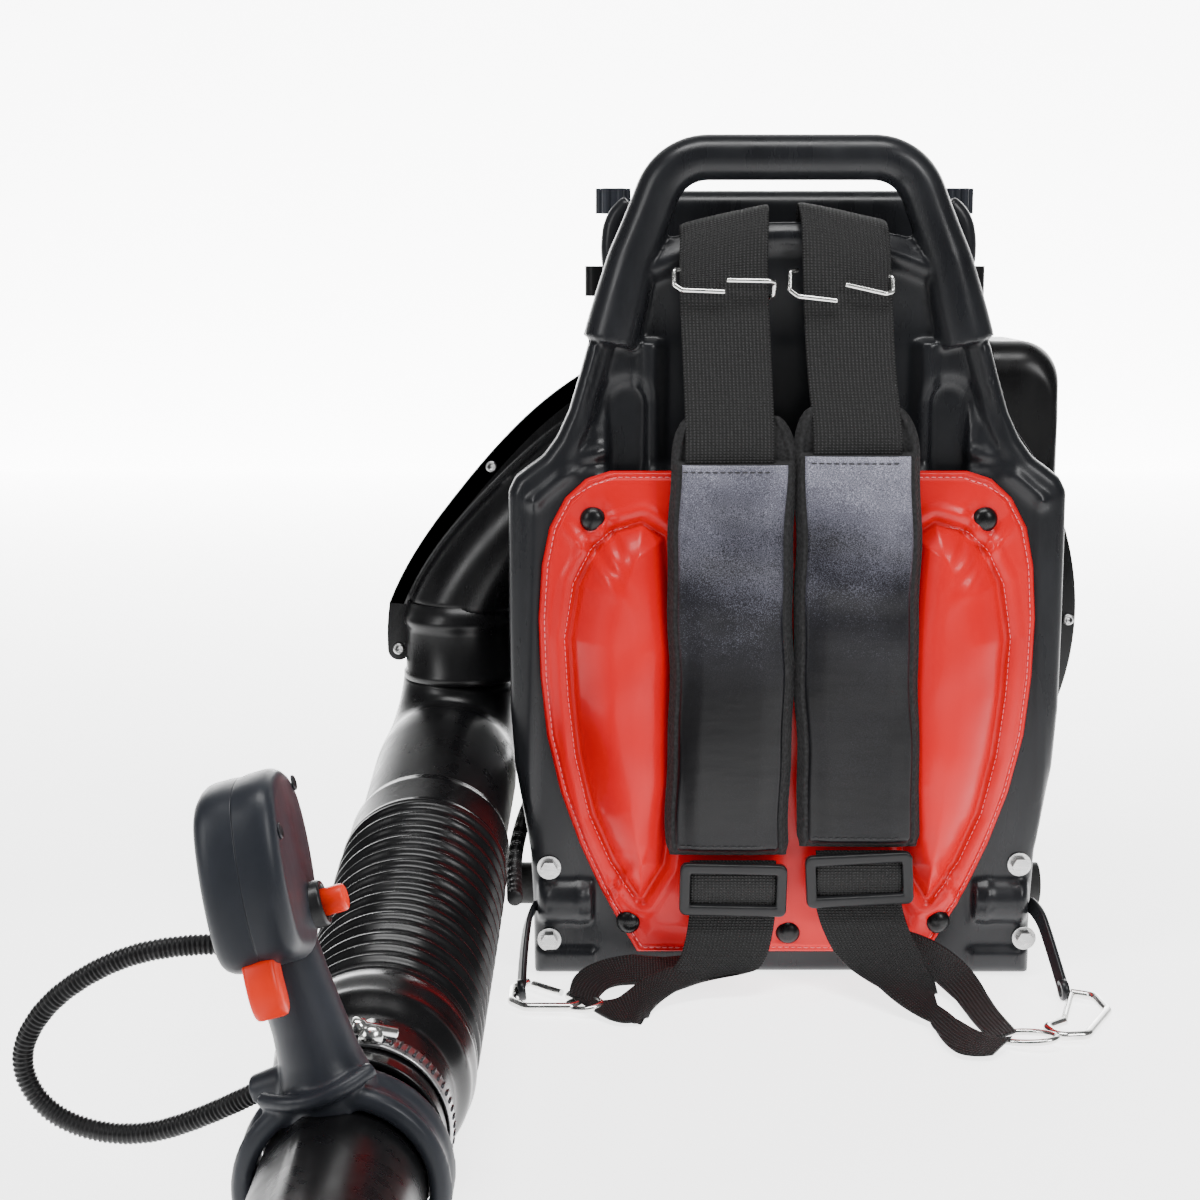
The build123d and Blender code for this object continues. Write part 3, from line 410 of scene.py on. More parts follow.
# ---- materials ----
class Nodes:
    """A small builder of one Principled material's nodes."""

    def __init__(self, name, color, roughness, metallic=0.0, **sockets):
        self.material = bpy.data.materials.new(name)
        self.material.use_nodes = True
        self.tree = self.material.node_tree
        self.shader = self.tree.nodes["Principled BSDF"]
        self.shader.inputs["Base Color"].default_value = (*color, 1)
        self.shader.inputs["Roughness"].default_value = roughness
        self.shader.inputs["Metallic"].default_value = metallic
        for key, value in sockets.items():
            self.shader.inputs[key.replace("_", " ")].default_value = value
        self.bump_out = None

    def node(self, kind, **settings):
        made = self.tree.nodes.new(kind)
        for key, value in settings.items():
            setattr(made, key, value)
        return made

    def link(self, source, target):
        self.tree.links.new(source, target)

    def coordinates(self, kind="Object"):
        return self.node("ShaderNodeTexCoord").outputs[kind]

    def noise(self, scale, detail=3.0, roughness=0.55, coords="Object", stretch=None):
        texture = self.node("ShaderNodeTexNoise")
        texture.inputs["Scale"].default_value = scale
        texture.inputs["Detail"].default_value = detail
        texture.inputs["Roughness"].default_value = roughness
        source = self.coordinates(coords)
        if stretch:
            mapping = self.node("ShaderNodeMapping")
            mapping.inputs["Scale"].default_value = stretch
            self.link(source, mapping.inputs["Vector"])
            source = mapping.outputs["Vector"]
        self.link(source, texture.inputs["Vector"])
        return texture.outputs["Fac"]

    def voronoi(self, scale, coords="Object", feature="F1"):
        texture = self.node("ShaderNodeTexVoronoi", feature=feature)
        texture.inputs["Scale"].default_value = scale
        self.link(self.coordinates(coords), texture.inputs["Vector"])
        return texture.outputs["Distance"]

    def wave(self, scale, direction="X", coords="UV", profile="SIN", distortion=0.0):
        texture = self.node("ShaderNodeTexWave", bands_direction=direction, wave_profile=profile)
        texture.inputs["Scale"].default_value = scale
        texture.inputs["Distortion"].default_value = distortion
        self.link(self.coordinates(coords), texture.inputs["Vector"])
        return texture.outputs["Fac"]

    def math(self, operation, a, b):
        made = self.node("ShaderNodeMath", operation=operation)
        for socket, value in zip(made.inputs, (a, b)):
            if isinstance(value, (int, float)):
                socket.default_value = value
            else:
                self.link(value, socket)
        return made.outputs[0]

    def remap(self, value, low, high, to_low, to_high):
        made = self.node("ShaderNodeMapRange")
        for key, number in (("From Min", low), ("From Max", high), ("To Min", to_low), ("To Max", to_high)):
            made.inputs[key].default_value = number
        self.link(value, made.inputs["Value"])
        return made.outputs["Result"]

    def ramp(self, value, stops):
        made = self.node("ShaderNodeValToRGB")
        elements = made.color_ramp.elements
        while len(elements) < len(stops):
            elements.new(0.5)
        for element, (place, color) in zip(elements, stops):
            element.position = place
            element.color = (*color, 1)
        self.link(value, made.inputs["Fac"])
        return made.outputs["Color"]

    def bump(self, height, strength, distance):
        made = self.node("ShaderNodeBump")
        made.inputs["Strength"].default_value = strength
        made.inputs["Distance"].default_value = distance * MM
        self.link(height, made.inputs["Height"])
        if self.bump_out is not None:
            self.link(self.bump_out, made.inputs["Normal"])
        self.bump_out = made.outputs["Normal"]
        self.link(self.bump_out, self.shader.inputs["Normal"])

    def color(self, source):
        self.link(source, self.shader.inputs["Base Color"])

    def roughness(self, source):
        self.link(source, self.shader.inputs["Roughness"])


def moulded_plastic(name, tone, roughness, grain=900.0, grain_depth=0.02, mottle=0.35):
    """Black or coloured moulded plastic: fine grain, cloudy gloss, faint rub marks."""
    m = Nodes(name, tone, roughness, Specular_IOR_Level=0.24)
    cloud = m.noise(14, 4)
    rub = m.noise(60, 5, stretch=(1.0, 1.0, 0.25))
    light = tuple(min(1, c * (1 + mottle) + 0.002) for c in tone)
    dark = tuple(c * (1 - mottle * 0.6) for c in tone)
    m.color(m.ramp(m.math("ADD", m.math("MULTIPLY", cloud, 0.6), m.math("MULTIPLY", rub, 0.4)),
                   [(0.3, dark), (0.7, light)]))
    m.roughness(m.remap(rub, 0.3, 0.75, roughness - 0.05, roughness + 0.1))
    m.bump(m.noise(grain, 2), 0.35, grain_depth)
    m.bump(m.noise(30, 3), 0.25, 0.12)
    return m.material


def vinyl(name, tone):
    """Glossy coated cloth with a fine leather grain and soft puckers."""
    m = Nodes(name, tone, 0.34, Specular_IOR_Level=0.2, Coat_Weight=0.1, Coat_Roughness=0.1)
    deep = tuple(c * 0.82 for c in tone)
    m.color(m.ramp(m.noise(9, 3), [(0.3, deep), (0.62, tone)]))
    m.roughness(m.remap(m.noise(45, 4), 0.3, 0.7, 0.28, 0.42))
    m.bump(m.voronoi(700), 0.18, 0.03)
    m.bump(m.noise(55, 3), 0.3, 0.35)
    return m.material


def webbing(name, tone, pitch=2.1):
    """Woven strap: warp cords along the strap, weft picks across it, with painted highlights on the weave's crests
    and painted shade in its gaps.
    """
    m = Nodes(name, tone, 0.6, Specular_IOR_Level=0.3, Sheen_Weight=0.03, Sheen_Roughness=0.4)
    warp = m.wave(pi / 10 / (pitch * MM), "X")
    weft = m.wave(pi / 10 / (pitch * 0.8 * MM), "Y")
    weave = m.math("MULTIPLY", warp, weft)
    fuzz = m.noise(1800, 2)
    mixed = m.math("ADD", m.math("MULTIPLY", weave, 0.75), m.math("MULTIPLY", fuzz, 0.25))
    # the ramp paints the weave: crests lighter as painted highlight, gaps darker as painted shade; the fuzz is the
    # yarn's own speckle
    m.color(m.ramp(mixed, [(0.1, tuple(c * 0.25 for c in tone)), (0.55, tone),
                           (0.95, tuple(min(1, c * 7) for c in tone))]))
    m.bump(weave, 0.9, 0.6)
    m.bump(fuzz, 0.3, 0.05)
    return m.material


def mesh_cloth(name, tone):
    """Knitted spacer mesh and bound edges of the padded bands."""
    m = Nodes(name, tone, 0.75, Specular_IOR_Level=0.3, Sheen_Weight=0.04, Sheen_Roughness=0.5)
    cells = m.voronoi(520)
    m.color(m.ramp(cells, [(0.05, tuple(c * 0.3 for c in tone)), (0.5, tone),
                           (0.9, tuple(c * 2.2 for c in tone))]))
    m.bump(cells, 0.8, 0.4)
    m.bump(m.noise(1500, 2), 0.3, 0.05)
    return m.material


def satin(name):
    """Black satin face cloth with a fine speckle; a painted highlight makes it silvery at the top of the band and
    fades down it.
    """
    m = Nodes(name, (0.03, 0.03, 0.036), 0.34, Specular_IOR_Level=0.24)
    speck = m.noise(1700, 2, 0.7)
    cloud = m.noise(20, 3, stretch=(0.7, 1, 1))
    height = m.node("ShaderNodeSeparateXYZ")
    m.link(m.coordinates(), height.inputs[0])
    # painted highlight: the colour grows lighter towards the top of the band (Object Z), standing for light caught
    # where the band bends over
    painted_highlight_by_height = m.remap(height.outputs["Z"], 0.17, 0.31, 0.0, 0.34)
    mixed = m.math("ADD", m.math("MULTIPLY", speck, 0.5), m.math("MULTIPLY", cloud, 0.32))
    mixed = m.math("ADD", mixed, painted_highlight_by_height)
    m.color(m.ramp(mixed, [(0.40, (0.002, 0.002, 0.0026)), (0.56, (0.009, 0.009, 0.012)),
                           (0.72, (0.11, 0.11, 0.14)), (0.88, (0.42, 0.42, 0.5))]))
    m.roughness(m.remap(cloud, 0.3, 0.7, 0.26, 0.42))
    m.bump(speck, 0.4, 0.08)
    m.bump(m.noise(40, 3, stretch=(0.4, 1, 1.6)), 0.4, 0.8)
    return m.material


def metal(name, tone, roughness, scratch=160.0):
    m = Nodes(name, tone, roughness, 1.0)
    marks = m.noise(scratch, 4, stretch=(1, 1, 6))
    m.roughness(m.remap(marks, 0.3, 0.7, max(0.05, roughness - 0.08), roughness + 0.14))
    m.color(m.ramp(m.noise(40, 3), [(0.3, tuple(c * 0.75 for c in tone)), (0.65, tone)]))
    m.bump(marks, 0.15, 0.02)
    return m.material


def thread(name, tone):
    m = Nodes(name, tone, 0.6)
    m.color(m.ramp(m.noise(2500, 2), [(0.3, tuple(c * 0.6 for c in tone)), (0.7, tone)]))
    m.bump(m.noise(3000, 2), 0.4, 0.04)
    return m.material


BLACK_FRAME = moulded_plastic("frame_plastic", (0.0075, 0.008, 0.0095), 0.28)
BLACK_GLOSS = moulded_plastic("gloss_plastic", (0.003, 0.003, 0.0034), 0.27, 700, 0.012)
BLACK_TUBE = moulded_plastic("tube_plastic", (0.003, 0.003, 0.0034), 0.28, 500, 0.015)
BLACK_HOSE = moulded_plastic("hose_plastic", (0.003, 0.003, 0.0034), 0.24, 500, 0.015)
BLACK_GRIP = moulded_plastic("grip_plastic", (0.014, 0.016, 0.021), 0.38, 1200, 0.03)
BLACK_BUCKLE = moulded_plastic("buckle_plastic", (0.008, 0.0082, 0.009), 0.33, 900, 0.02)
BLACK_LOOM = moulded_plastic("loom_plastic", (0.006, 0.006, 0.0065), 0.38, 900, 0.02)
RUBBER = moulded_plastic("rubber", (0.016, 0.016, 0.016), 0.62, 1400, 0.05)
ORANGE = moulded_plastic("orange_plastic", (0.74, 0.022, 0.002), 0.33, 900, 0.015, 0.12)
TANK = moulded_plastic("tank_plastic", (0.62, 0.62, 0.57), 0.4, 600, 0.02, 0.1)
RED = vinyl("red_vinyl", (0.58, 0.0, 0.004))
WEB = webbing("black_webbing", (0.005, 0.005, 0.0052))
BINDING = mesh_cloth("edge_mesh", (0.006, 0.006, 0.0064))
SATIN = satin("satin_panel")
CHROME = metal("bright_wire", (0.78, 0.78, 0.76), 0.16)
ZINC = metal("zinc_plate", (0.5, 0.5, 0.5), 0.28)
DARK_STEEL = metal("painted_steel", (0.05, 0.05, 0.055), 0.4)
ALLOY = metal("cast_alloy", (0.5, 0.51, 0.52), 0.48, 320)
STEEL = metal("machined_steel", (0.45, 0.45, 0.46), 0.3)
RED_THREAD = thread("red_thread", (0.95, 0.22, 0.25))
BLACK_THREAD = thread("black_thread", (0.01, 0.01, 0.012))
PAPER = thread("filter_paper", (0.7, 0.62, 0.4))


# ---- throttle looms ----
def corrugated_cord(name, route):
    """A slotted cable loom: fine ribs along the route's smooth line."""
    line = resample(nurbs_points(route), 0.5)
    along = np.arange(len(line)) * 0.5
    radii = LOOM_D / 2 - 0.35 + 0.35 * np.clip(np.sin(2 * pi * along / 2.1) * 1.6, -1, 1)
    cord = sweep(name, line, radii, BLACK_LOOM, sides=20)
    return cord, line


LOOP_ROUTE = [
    (-262, -492, 140.5), (-285, -491, 140), (-314, -488, 131), (-341, -486, 112), (-354, -484, 87),
    (-342, -484, 63), (-313, -487, 54), (-281, -492, 61), (-247, -500, 81),
]
ENGINE_ROUTE = [
    (-156, -176, 64), (-158, -140, 62), (-159, -100, 70), (-154, -60, 84), (-144, -20, 98),
    (-130, 20, 120), (-94, 42, 152), (-46.4, 45, 178),
]


def add_looms():
    loop, line = corrugated_cord("throttle_loom_at_handle", LOOP_ROUTE)
    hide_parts("throttle_loom_loop")
    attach(loop, "blow_tube")
    run, line = corrugated_cord("throttle_loom_to_engine", ENGINE_ROUTE)
    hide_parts("throttle_loom_engine_run")
    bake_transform(run)


add_looms()


# ---- back frame ----
PLATE_OUTLINE = [(147, 0), (147.5, 40), (149, 74), (153, 98), (158, 125), (160.5, 160), (161, 211), (161, 288),
                 (157, 296), (150, 301.5), (141, 308), (133, 319), (126, 334), (120, 354), (115, 372)]
LEG_LINE = [(102.0, 373.0), (90.0, 419.0), (68.0, HANDLE_TOP)]


def frame_half_width(z):
    heights = [p[1] for p in PLATE_OUTLINE] + [376, 384, 441]
    widths = [p[0] for p in PLATE_OUTLINE] + [113, 104, 80]
    return np.interp(z, heights, widths)


def frame_front(x, z):
    """Y of the frame's moulded front face."""
    a = np.abs(x)
    outline = PLATE_OUTLINE + [(110, 395), (104, 520)]
    outline = outline + [(-w, h) for w, h in reversed(outline)]
    edge = polyline_distance(x, z, outline)
    # rounded rim, then a shallow field inside it
    rim = 12.5 - 4.5 * smooth_step(11, 17, edge) * smooth_step(296, 306, z)
    body = rim
    # panel between the legs and down behind the straps
    hollow = (1 - smooth_step(68, 79, a)) * smooth_step(228, 242, z)
    body = body - 7.0 * hollow
    # web between the handle's legs, with a rounded cross-bar at its top
    below = smooth_step(5, 11, edge) * smooth_step(312, 345, z) * (1 - smooth_step(371, 374, z))
    body = body - 4.5 * below * smooth_step(80, 90, a)
    upper = smooth_step(372, 376, z)
    body = body * (1 - upper) + (1.5 + 1.5 * np.sin(pi * z / 40)) * upper
    arch = 433 - 6.0 * (x / 45.0) ** 2
    body = body + 5.5 * bump_at(z, arch, 12)
    # two deep finger recesses
    slot_z = np.clip(z, 262, 338)
    slot = np.hypot(a - 92.5, z - slot_z)
    body = body - 15.5 * (1 - smooth_step(8.0, 12.5, slot))
    body = body - 2.2 * (1 - smooth_step(12, 19, slot)) * smooth_step(11.5, 12.5, slot)
    # inner edge line of the field, and short bevelled ridges at the shoulders
    shoulder = [(146, 283), (131, 296), (118, 308), (104, 311), (118, 308), (131, 296)]
    ridge = np.minimum(polyline_distance(x, z, shoulder), polyline_distance(-x, z, shoulder))
    body = body + 3.2 * bump_at(ridge, 0, 7)
    # vertical step beside the pad
    body = body + 1.8 * bump_at(a, 149 - 0.03 * (z - 150), 6) * (1 - smooth_step(278, 292, z))
    # half-round bosses over the cross bar's ends, each with two ribs
    boss = 4.5 + np.sqrt(np.clip(15.5 ** 2 - (z - 45) ** 2, 0, None))
    boss = boss + 1.4 * (bump_at(a, 120, 3.5) + bump_at(a, 140, 3.5))
    on_boss = smooth_step(110, 113, a) * (1 - smooth_step(144, 147, a))
    body = np.maximum(body, boss * on_boss)
    foot = smooth_step(109, 112, a) * (1 - smooth_step(14, 18, z))
    body = body + 3.0 * foot
    # rounded outer edge
    radius = 9.0
    fall = 1 - np.sqrt(np.clip(1 - (1 - np.clip(edge / radius, 0, 1)) ** 2, 0, 1))
    body = body - fall * radius
    return FRAME_MID - body


def add_frame():
    def back(x, z):
        return np.where(z > 374, FRAME_MID + 6.0, FRAME_BACK) + np.zeros_like(x)

    plate = relief("plate", frame_half_width, (0, 441), frame_front, back, None, 330, 440,
                   top_drop=lambda u: 13.0 * u * u)
    left = [(-x, -107.0, z) for x, z in LEG_LINE]
    right = [(x, -107.0, z) for x, z in reversed(LEG_LINE)]
    line = rounded_path(left + right, [60, 30, 30, 60], 3.0)
    height = line[:, 2]
    radii = 12.8 + 3.4 * (1 - smooth_step(372, 455, height))
    handle = sweep("handle_tube", line, radii, None, sides=48)
    skin = weld("frame_moulding", [plate, handle], 1.7, 3, BLACK_FRAME)
    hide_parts("back_frame")
    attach(skin, "root")


add_frame()


# ---- red back pad ----
PAD_OUTLINE = [(86, 15), (96, 32), (108, 54), (120, 81), (131, 112), (139, 146), (142.5, 181), (143.5, 215),
               (141.5, 246), (137, 268), (128, 285), (116, 296), (102, 300.5)]
BOLSTER = [(84, 50), (98, 72), (110, 100), (118, 135), (122, 170), (124, 204), (119, 236), (109, 256),
           (98, 266), (84, 270), (72, 262), (66, 200), (66, 120), (72, 70)]


def pad_half_width(z):
    return np.interp(z, [p[1] for p in PAD_OUTLINE], [p[0] for p in PAD_OUTLINE])


def inside(x, z, outline):
    """True where a point lies inside a closed outline."""
    hit = np.zeros(x.shape, bool)
    closed = list(outline) + [outline[0]]
    for (ax, az), (bx, bz) in zip(closed, closed[1:]):
        crosses = (az > z) != (bz > z)
        at = ax + (z - az) * (bx - ax) / ((bz - az) if bz != az else 1e-9)
        hit ^= crosses & (x < at)
    return hit


def pad_front(x, z):
    a = np.abs(x)
    outline = PAD_OUTLINE + [(-w, h) for w, h in reversed(PAD_OUTLINE)]
    edge = polyline_distance(x, z, outline)
    base = 5.5 * np.sqrt(np.clip(1 - (1 - np.clip(edge / 5.0, 0, 1)) ** 2, 0, 1))
    # sewn border channel
    base = base - 1.5 * bump_at(edge, 3.4, 1.8)
    base = base + 2.2 * smooth_step(5, 22, edge)
    # bolsters
    far = polyline_distance(a, z, BOLSTER)
    within = inside(a, z, BOLSTER)
    signed = np.where(within, far, -far)
    puff = 17.0 * (1 - (1 - np.clip(signed / 26, 0, 1)) ** 2.3)
    base = base + puff * within
    base = base - 2.4 * bump_at(signed, -1.5, 4.0)
    base = base + 1.5 * bump_at(signed, -9.0, 5.5)
    # pulled creases that fan out from the bolsters' upper ends and lower tips
    for cx, cz, turn, reach in ((114, 252, 0.9, 34), (106, 264, 1.2, 26), (94, 58, -1.05, 34)):
        du = (a - cx) * cos(turn) + (z - cz) * sin(turn)
        dv = -(a - cx) * sin(turn) + (z - cz) * cos(turn)
        base = base + 2.0 * np.exp(-(dv / 3.6) ** 2 - (du / reach * 1.6) ** 2)
        base = base - 1.5 * np.exp(-((dv - 6) / 3.6) ** 2 - (du / reach * 1.6) ** 2)
    # slight dimples at the rivets
    for rx, rz in ((112, 273), (91, 34), (3, 28)):
        base = base - 2.6 * np.exp(-((a - rx) ** 2 + (z - rz) ** 2) / 90.0)
    ripple = np.sin(x * 0.11 + 1.3 * np.sin(z * 0.05)) * np.sin(z * 0.083 + 0.7)
    base = base + 0.55 * ripple * smooth_step(6, 20, edge)
    return FRAME_FRONT - 0.6 - np.clip(base, 0.6, 26)


def settle_cloth(obj, cap, frames, pressure):
    """Let the padded skin puff and wrinkle a little under pressure, then keep the result."""
    start = np.array([v.co[:] for v in obj.data.vertices])
    pinned = obj.vertex_groups.new(name="pinned")
    back = start[:, 1].max()
    pinned.add([int(i) for i in np.nonzero(start[:, 1] > back - 0.0016)[0]], 1.0, "REPLACE")
    cloth = obj.modifiers.new("cloth", "CLOTH")
    settings = cloth.settings
    settings.quality = 5
    settings.use_pressure = True
    settings.uniform_pressure_force = pressure
    settings.tension_stiffness = 30
    settings.compression_stiffness = 30
    settings.bending_stiffness = 3
    settings.vertex_group_mass = "pinned"
    settings.effector_weights.gravity = 0
    cloth.point_cache.frame_end = frames
    for step in range(1, frames + 1):
        bpy.context.scene.frame_set(step)
    graph = bpy.context.evaluated_depsgraph_get()
    moved = obj.evaluated_get(graph).to_mesh()
    end = np.array([v.co[:] for v in moved.vertices])
    obj.modifiers.clear()
    bpy.context.scene.frame_set(1)
    shift = end - start
    length = np.linalg.norm(shift, axis=1)[:, None]
    shift *= np.minimum(1, cap * MM / np.maximum(length, 1e-9))
    obj.data.vertices.foreach_set("co", (start + shift).ravel())
    obj.data.update()
    return obj


def stitches(name, line, material, length=3.4, gap=1.6, radius=0.42, lift=0.35):
    """Short raised stitches end to end along a line of points."""
    points, faces = [], []
    sides = 6
    line = np.asarray(line)
    pitch = length + gap
    path = resample(line, pitch / 4)
    count = (len(path) - 1) // 4
    for k in range(count):
        seg = path[k * 4:k * 4 + 4]
        axis = seg[-1] - seg[0]
        axis /= np.linalg.norm(axis)
        side = np.cross(axis, (0, 1, 0))
        side /= np.linalg.norm(side)
        up = np.cross(side, axis)
        start = len(points)
        for i, (centre, rise) in enumerate(zip(seg, (0.0, lift, lift, 0.0))):
            shrink = 0.55 if i in (0, 3) else 1.0
            for s in range(sides):
                angle = 2 * pi * s / sides
                points.append(centre + np.array([0, -rise, 0])
                              + (side * cos(angle) + up * sin(angle)) * radius * shrink)
        faces += grid_faces(4, sides, start=start, wrap=True)
        faces.append(tuple(start + s for s in range(sides))[::-1])
        faces.append(tuple(start + 3 * sides + s for s in range(sides)))
    return make_object(name, points, faces, material)


def add_pad():
    pad = relief("pad_cover", pad_half_width, (15, 300.5), pad_front,
                 lambda x, z: np.full_like(x, FRAME_FRONT - 0.5), RED, 300, 300)
    settle_cloth(pad, 2.5, 8, 2.0)
    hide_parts("back_pad")
    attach(pad, "root")

    # white-red top stitching near the edge and round each bolster
    inset = 3.4
    border = []
    for w, h in PAD_OUTLINE:
        border.append((w - inset, h if 20 < h < 296 else (h + 3.4 if h < 20 else h - 3.4)))
    outline = border + [(-x, z) for x, z in reversed(border)] + [border[0]]
    flat = resample([(x, 0, z) for x, z in outline], 2.0)
    flat[:, 1] = pad_front(flat[:, 0], flat[:, 2]) - 0.15
    seam = stitches("pad_edge_stitching", flat, RED_THREAD, 2.4, 1.4, 0.3)
    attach(seam, "root")
    for side in (-1, 1):
        outer = [(side * (x + 4.5), z) for x, z in BOLSTER[:10]]
        run = resample([(x, 0, z) for x, z in outer], 2.0)
        run[:, 1] = pad_front(run[:, 0], run[:, 2]) - 0.15
        tag = "left" if side < 0 else "right"
        seam = stitches(f"bolster_stitching_{tag}", run, RED_THREAD, 2.0, 1.4, 0.22)
        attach(seam, "root")


add_pad()


# ---- rivets and frame bolts ----
def add_rivets():
    pieces = []
    for k, (x, z) in enumerate([(-112, 273), (112, 273), (-91, 34), (91, 34), (3, 28)]):
        y = float(pad_front(np.array([x * 1.0]), np.array([z * 1.0]))[0]) + 1.6
        dome = [(0, 0.2), (0, 7.2), (1.4, 7.4), (2.4, 7.0), (4.2, 5.6), (5.3, 3.6), (5.8, 1.4), (5.9, 0.2)]
        pieces.append(lathe(f"pad_rivet_{k + 1}", dome, (x, y, z), (0, -1, 0), BLACK_GLOSS, 40, False))
    for piece in pieces:
        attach(piece, "root")
    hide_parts("pad_rivets")


add_rivets()


# ---- shoulder straps ----
BAND_BACK = -136.5
STRAPS = {
    "left": {"head": (-35.0, 330.0), "foot": (-35.5, 79.0), "web": -37.5, "panel_top": 306.0},
    "right": {"head": (36.5, 330.0), "foot": (41.5, 84.0), "web": 29.5, "panel_top": 311.0},
}
PANEL_HALF = 29.5


def strap_centre(place, z):
    (hx, hz), (fx, fz) = place["head"], place["foot"]
    return fx + (hx - fx) * (z - fz) / (hz - fz)


def add_strap_pad(side, place):
    fz = place["foot"][1]
    panel_top = place["panel_top"]
    seed = 0.0 if side == "left" else 2.1
    rows, columns = 320, 96
    z = np.repeat(np.linspace(fz, panel_top + 27, rows)[:, None], columns, axis=1)
    u = np.repeat(np.linspace(-1, 1, columns)[None, :], rows, axis=0)
    top = panel_top + 27 - z
    bottom = z - fz
    half = 22.5 + 13.2 * np.sqrt(np.clip(1 - (np.clip(z - panel_top, 0, 27) / 27.5) ** 2, 0, 1))
    half = half * (0.95 + 0.05 * smooth_step(0, 8, bottom))
    wobble = 0.9 * np.sin(z * 0.045 + seed) + 0.4 * np.sin(z * 0.11 + seed * 2)
    middle = strap_centre(place, z) + (1.8 if side == "left" else 0.0)
    x = middle + wobble + u * half
    inset = (1 - np.abs(u)) * half
    edge = np.minimum(np.minimum(inset, top), bottom)
    rim = 4.0 + 5.2 * np.sqrt(np.clip(1 - (1 - np.clip(inset / 6.0, 0, 1)) ** 2, 0, 1))
    # bound edge, then a groove, then the padded middle
    body = rim - 2.2 * bump_at(inset, 5.4, 1.9) + 2.4 * smooth_step(6, 20, inset)
    above = smooth_step(-0.5, 1.5, z - panel_top)
    body = body * (1 - above) + (2.6 + 3.4 * bump_at(inset, 2.5, 4.5)) * above
    body = body * (0.35 + 0.65 * smooth_step(0, 6, edge))
    on_panel = (inset > 5.6) & (z < place["panel_top"]) & (z > fz + 3)
    folds = (np.sin(z * 0.16 + 2.2 * np.sin(z * 0.021 + seed) + 0.02 * u * half)
             * np.exp(-((z - 250) / 34) ** 2) * 0.6
             + np.sin(z * 0.043 + 1.8 * np.sin(u * 1.1 + seed + z * 0.013)) * 0.7)
    body = body + folds * smooth_step(5, 12, inset) * (1 - above)
    front = BAND_BACK - body
    back = np.full_like(front, BAND_BACK) - 0.4
    points = np.concatenate([np.stack([x, y, z], -1).reshape(-1, 3) for y in (front, back)])
    uv = np.concatenate([np.stack([u * half, z], -1).reshape(-1, 2)] * 2)
    pad = make_object(f"shoulder_pad_{side}", points, sheet_faces(rows, columns), BINDING, uv=uv)
    pad.data.materials.append(SATIN)
    flags = on_panel.ravel()
    for polygon in pad.data.polygons:
        if max(polygon.vertices) < rows * columns and all(flags[i] for i in polygon.vertices):
            polygon.material_index = 1
    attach(pad, "root")

    def surface(px, pz):
        """Front Y of the band near the panel, for the stitching."""
        row = np.clip(((pz - fz) / (panel_top + 27 - fz) * (rows - 1)).astype(int), 0, rows - 1)
        centre = strap_centre(place, pz) + 0.9 * np.sin(pz * 0.045 + seed)
        centre = centre + 0.4 * np.sin(pz * 0.11 + seed * 2)
        column = np.clip(((px - centre) / half[row, 0] + 1) / 2 * (columns - 1), 0, columns - 1).astype(int)
        return front[row, column]

    for tag, level in (("top", place["panel_top"] - 4.0), ("foot", fz + 7.0)):
        xs = np.linspace(-PANEL_HALF + 3, PANEL_HALF - 3, 40) + strap_centre(place, level)
        zs = np.full_like(xs, level)
        line = np.stack([xs, surface(xs, zs) - 0.1, zs], -1)
        seam = stitches(f"shoulder_seam_{tag}_{side}", line, BLACK_THREAD, 3.0, 1.2, 0.45)
        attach(seam, "root")
    return pad


def ribbon(name, centre_line, across, widths, thickness, material, lift=None):
    """A flat woven strap along a line, with rounded selvedges.

    across is the width direction and widths the width at each point; lift(t, s) raises the
    strap off its line, at t from -1 to 1 across it and s along it."""
    line = np.asarray(centre_line, float)
    across = np.broadcast_to(np.asarray(across, float), line.shape)
    across = across / np.linalg.norm(across, axis=1)[:, None]
    tangents = np.gradient(line, axis=0)
    tangents /= np.linalg.norm(tangents, axis=1)[:, None]
    normals = np.cross(across, tangents)
    normals /= np.linalg.norm(normals, axis=1)[:, None]
    steps = np.linspace(-1, 1, 25)
    count = len(line)
    along = distances(line)
    loop = [(t, 1) for t in steps] + [(t, -1) for t in steps[::-1]]
    points, uvs = [], []
    widths = np.broadcast_to(np.asarray(widths, float), (count,))
    for i in range(count):
        width = widths[i]
        for t, face in loop:
            slim = sqrt(max(0.06, 1 - abs(t) ** 14))
            raised = lift(t, along[i]) if lift else 0.0
            points.append(line[i] + across[i] * (t * width / 2)
                          + normals[i] * (face * slim * thickness / 2 + raised))
            uvs.append((t * width / 2, along[i]))
    sides = len(loop)
    faces = grid_faces(count, sides, wrap=True)
    faces += end_caps(count, sides)
    return make_object(name, points, faces, material, uv=uvs)


def add_straps():
    pads = [add_strap_pad(side, place) for side, place in STRAPS.items()]
    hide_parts("strap_pads")
    first = None
    for side, place in STRAPS.items():
        x = place["web"]
        lean = -4.0 if side == "left" else 5.0
        head = strap_centre(place, 318)
        corners = [(x, -91.5, 402), (x, -91.5, 446), (x, -100, 450.5), (x, -113, 448), (x + lean * 0.2, -121.5, 438),
                   (x + lean * 0.3, -126.0, 408), (head * 0.5 + x * 0.5, -132, 360), (head, -141.4, 326),
                   (head, -142.4, 312), (head, -142.0, place["panel_top"] - 4)]
        line = resample(nurbs_points(corners), 2.0)

        def droop(t, s):
            return 1.6 * (t * t) * np.exp(-((s - 58) / 22) ** 2) * -1 + 0.35 * sin(s * 0.12 + t * 2)

        strap = ribbon(f"shoulder_webbing_{side}", line, (1, 0, 0), 50, 1.8, WEB, droop)
        for vertex in strap.data.vertices:
            level = smooth_step(400, 440, vertex.co.z / MM)
            vertex.co.z -= 6.5 * MM * (vertex.co.x / 0.045) ** 2 * level
        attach(strap, "root")
        first = first or strap
    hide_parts("upper_webbing")


add_straps()


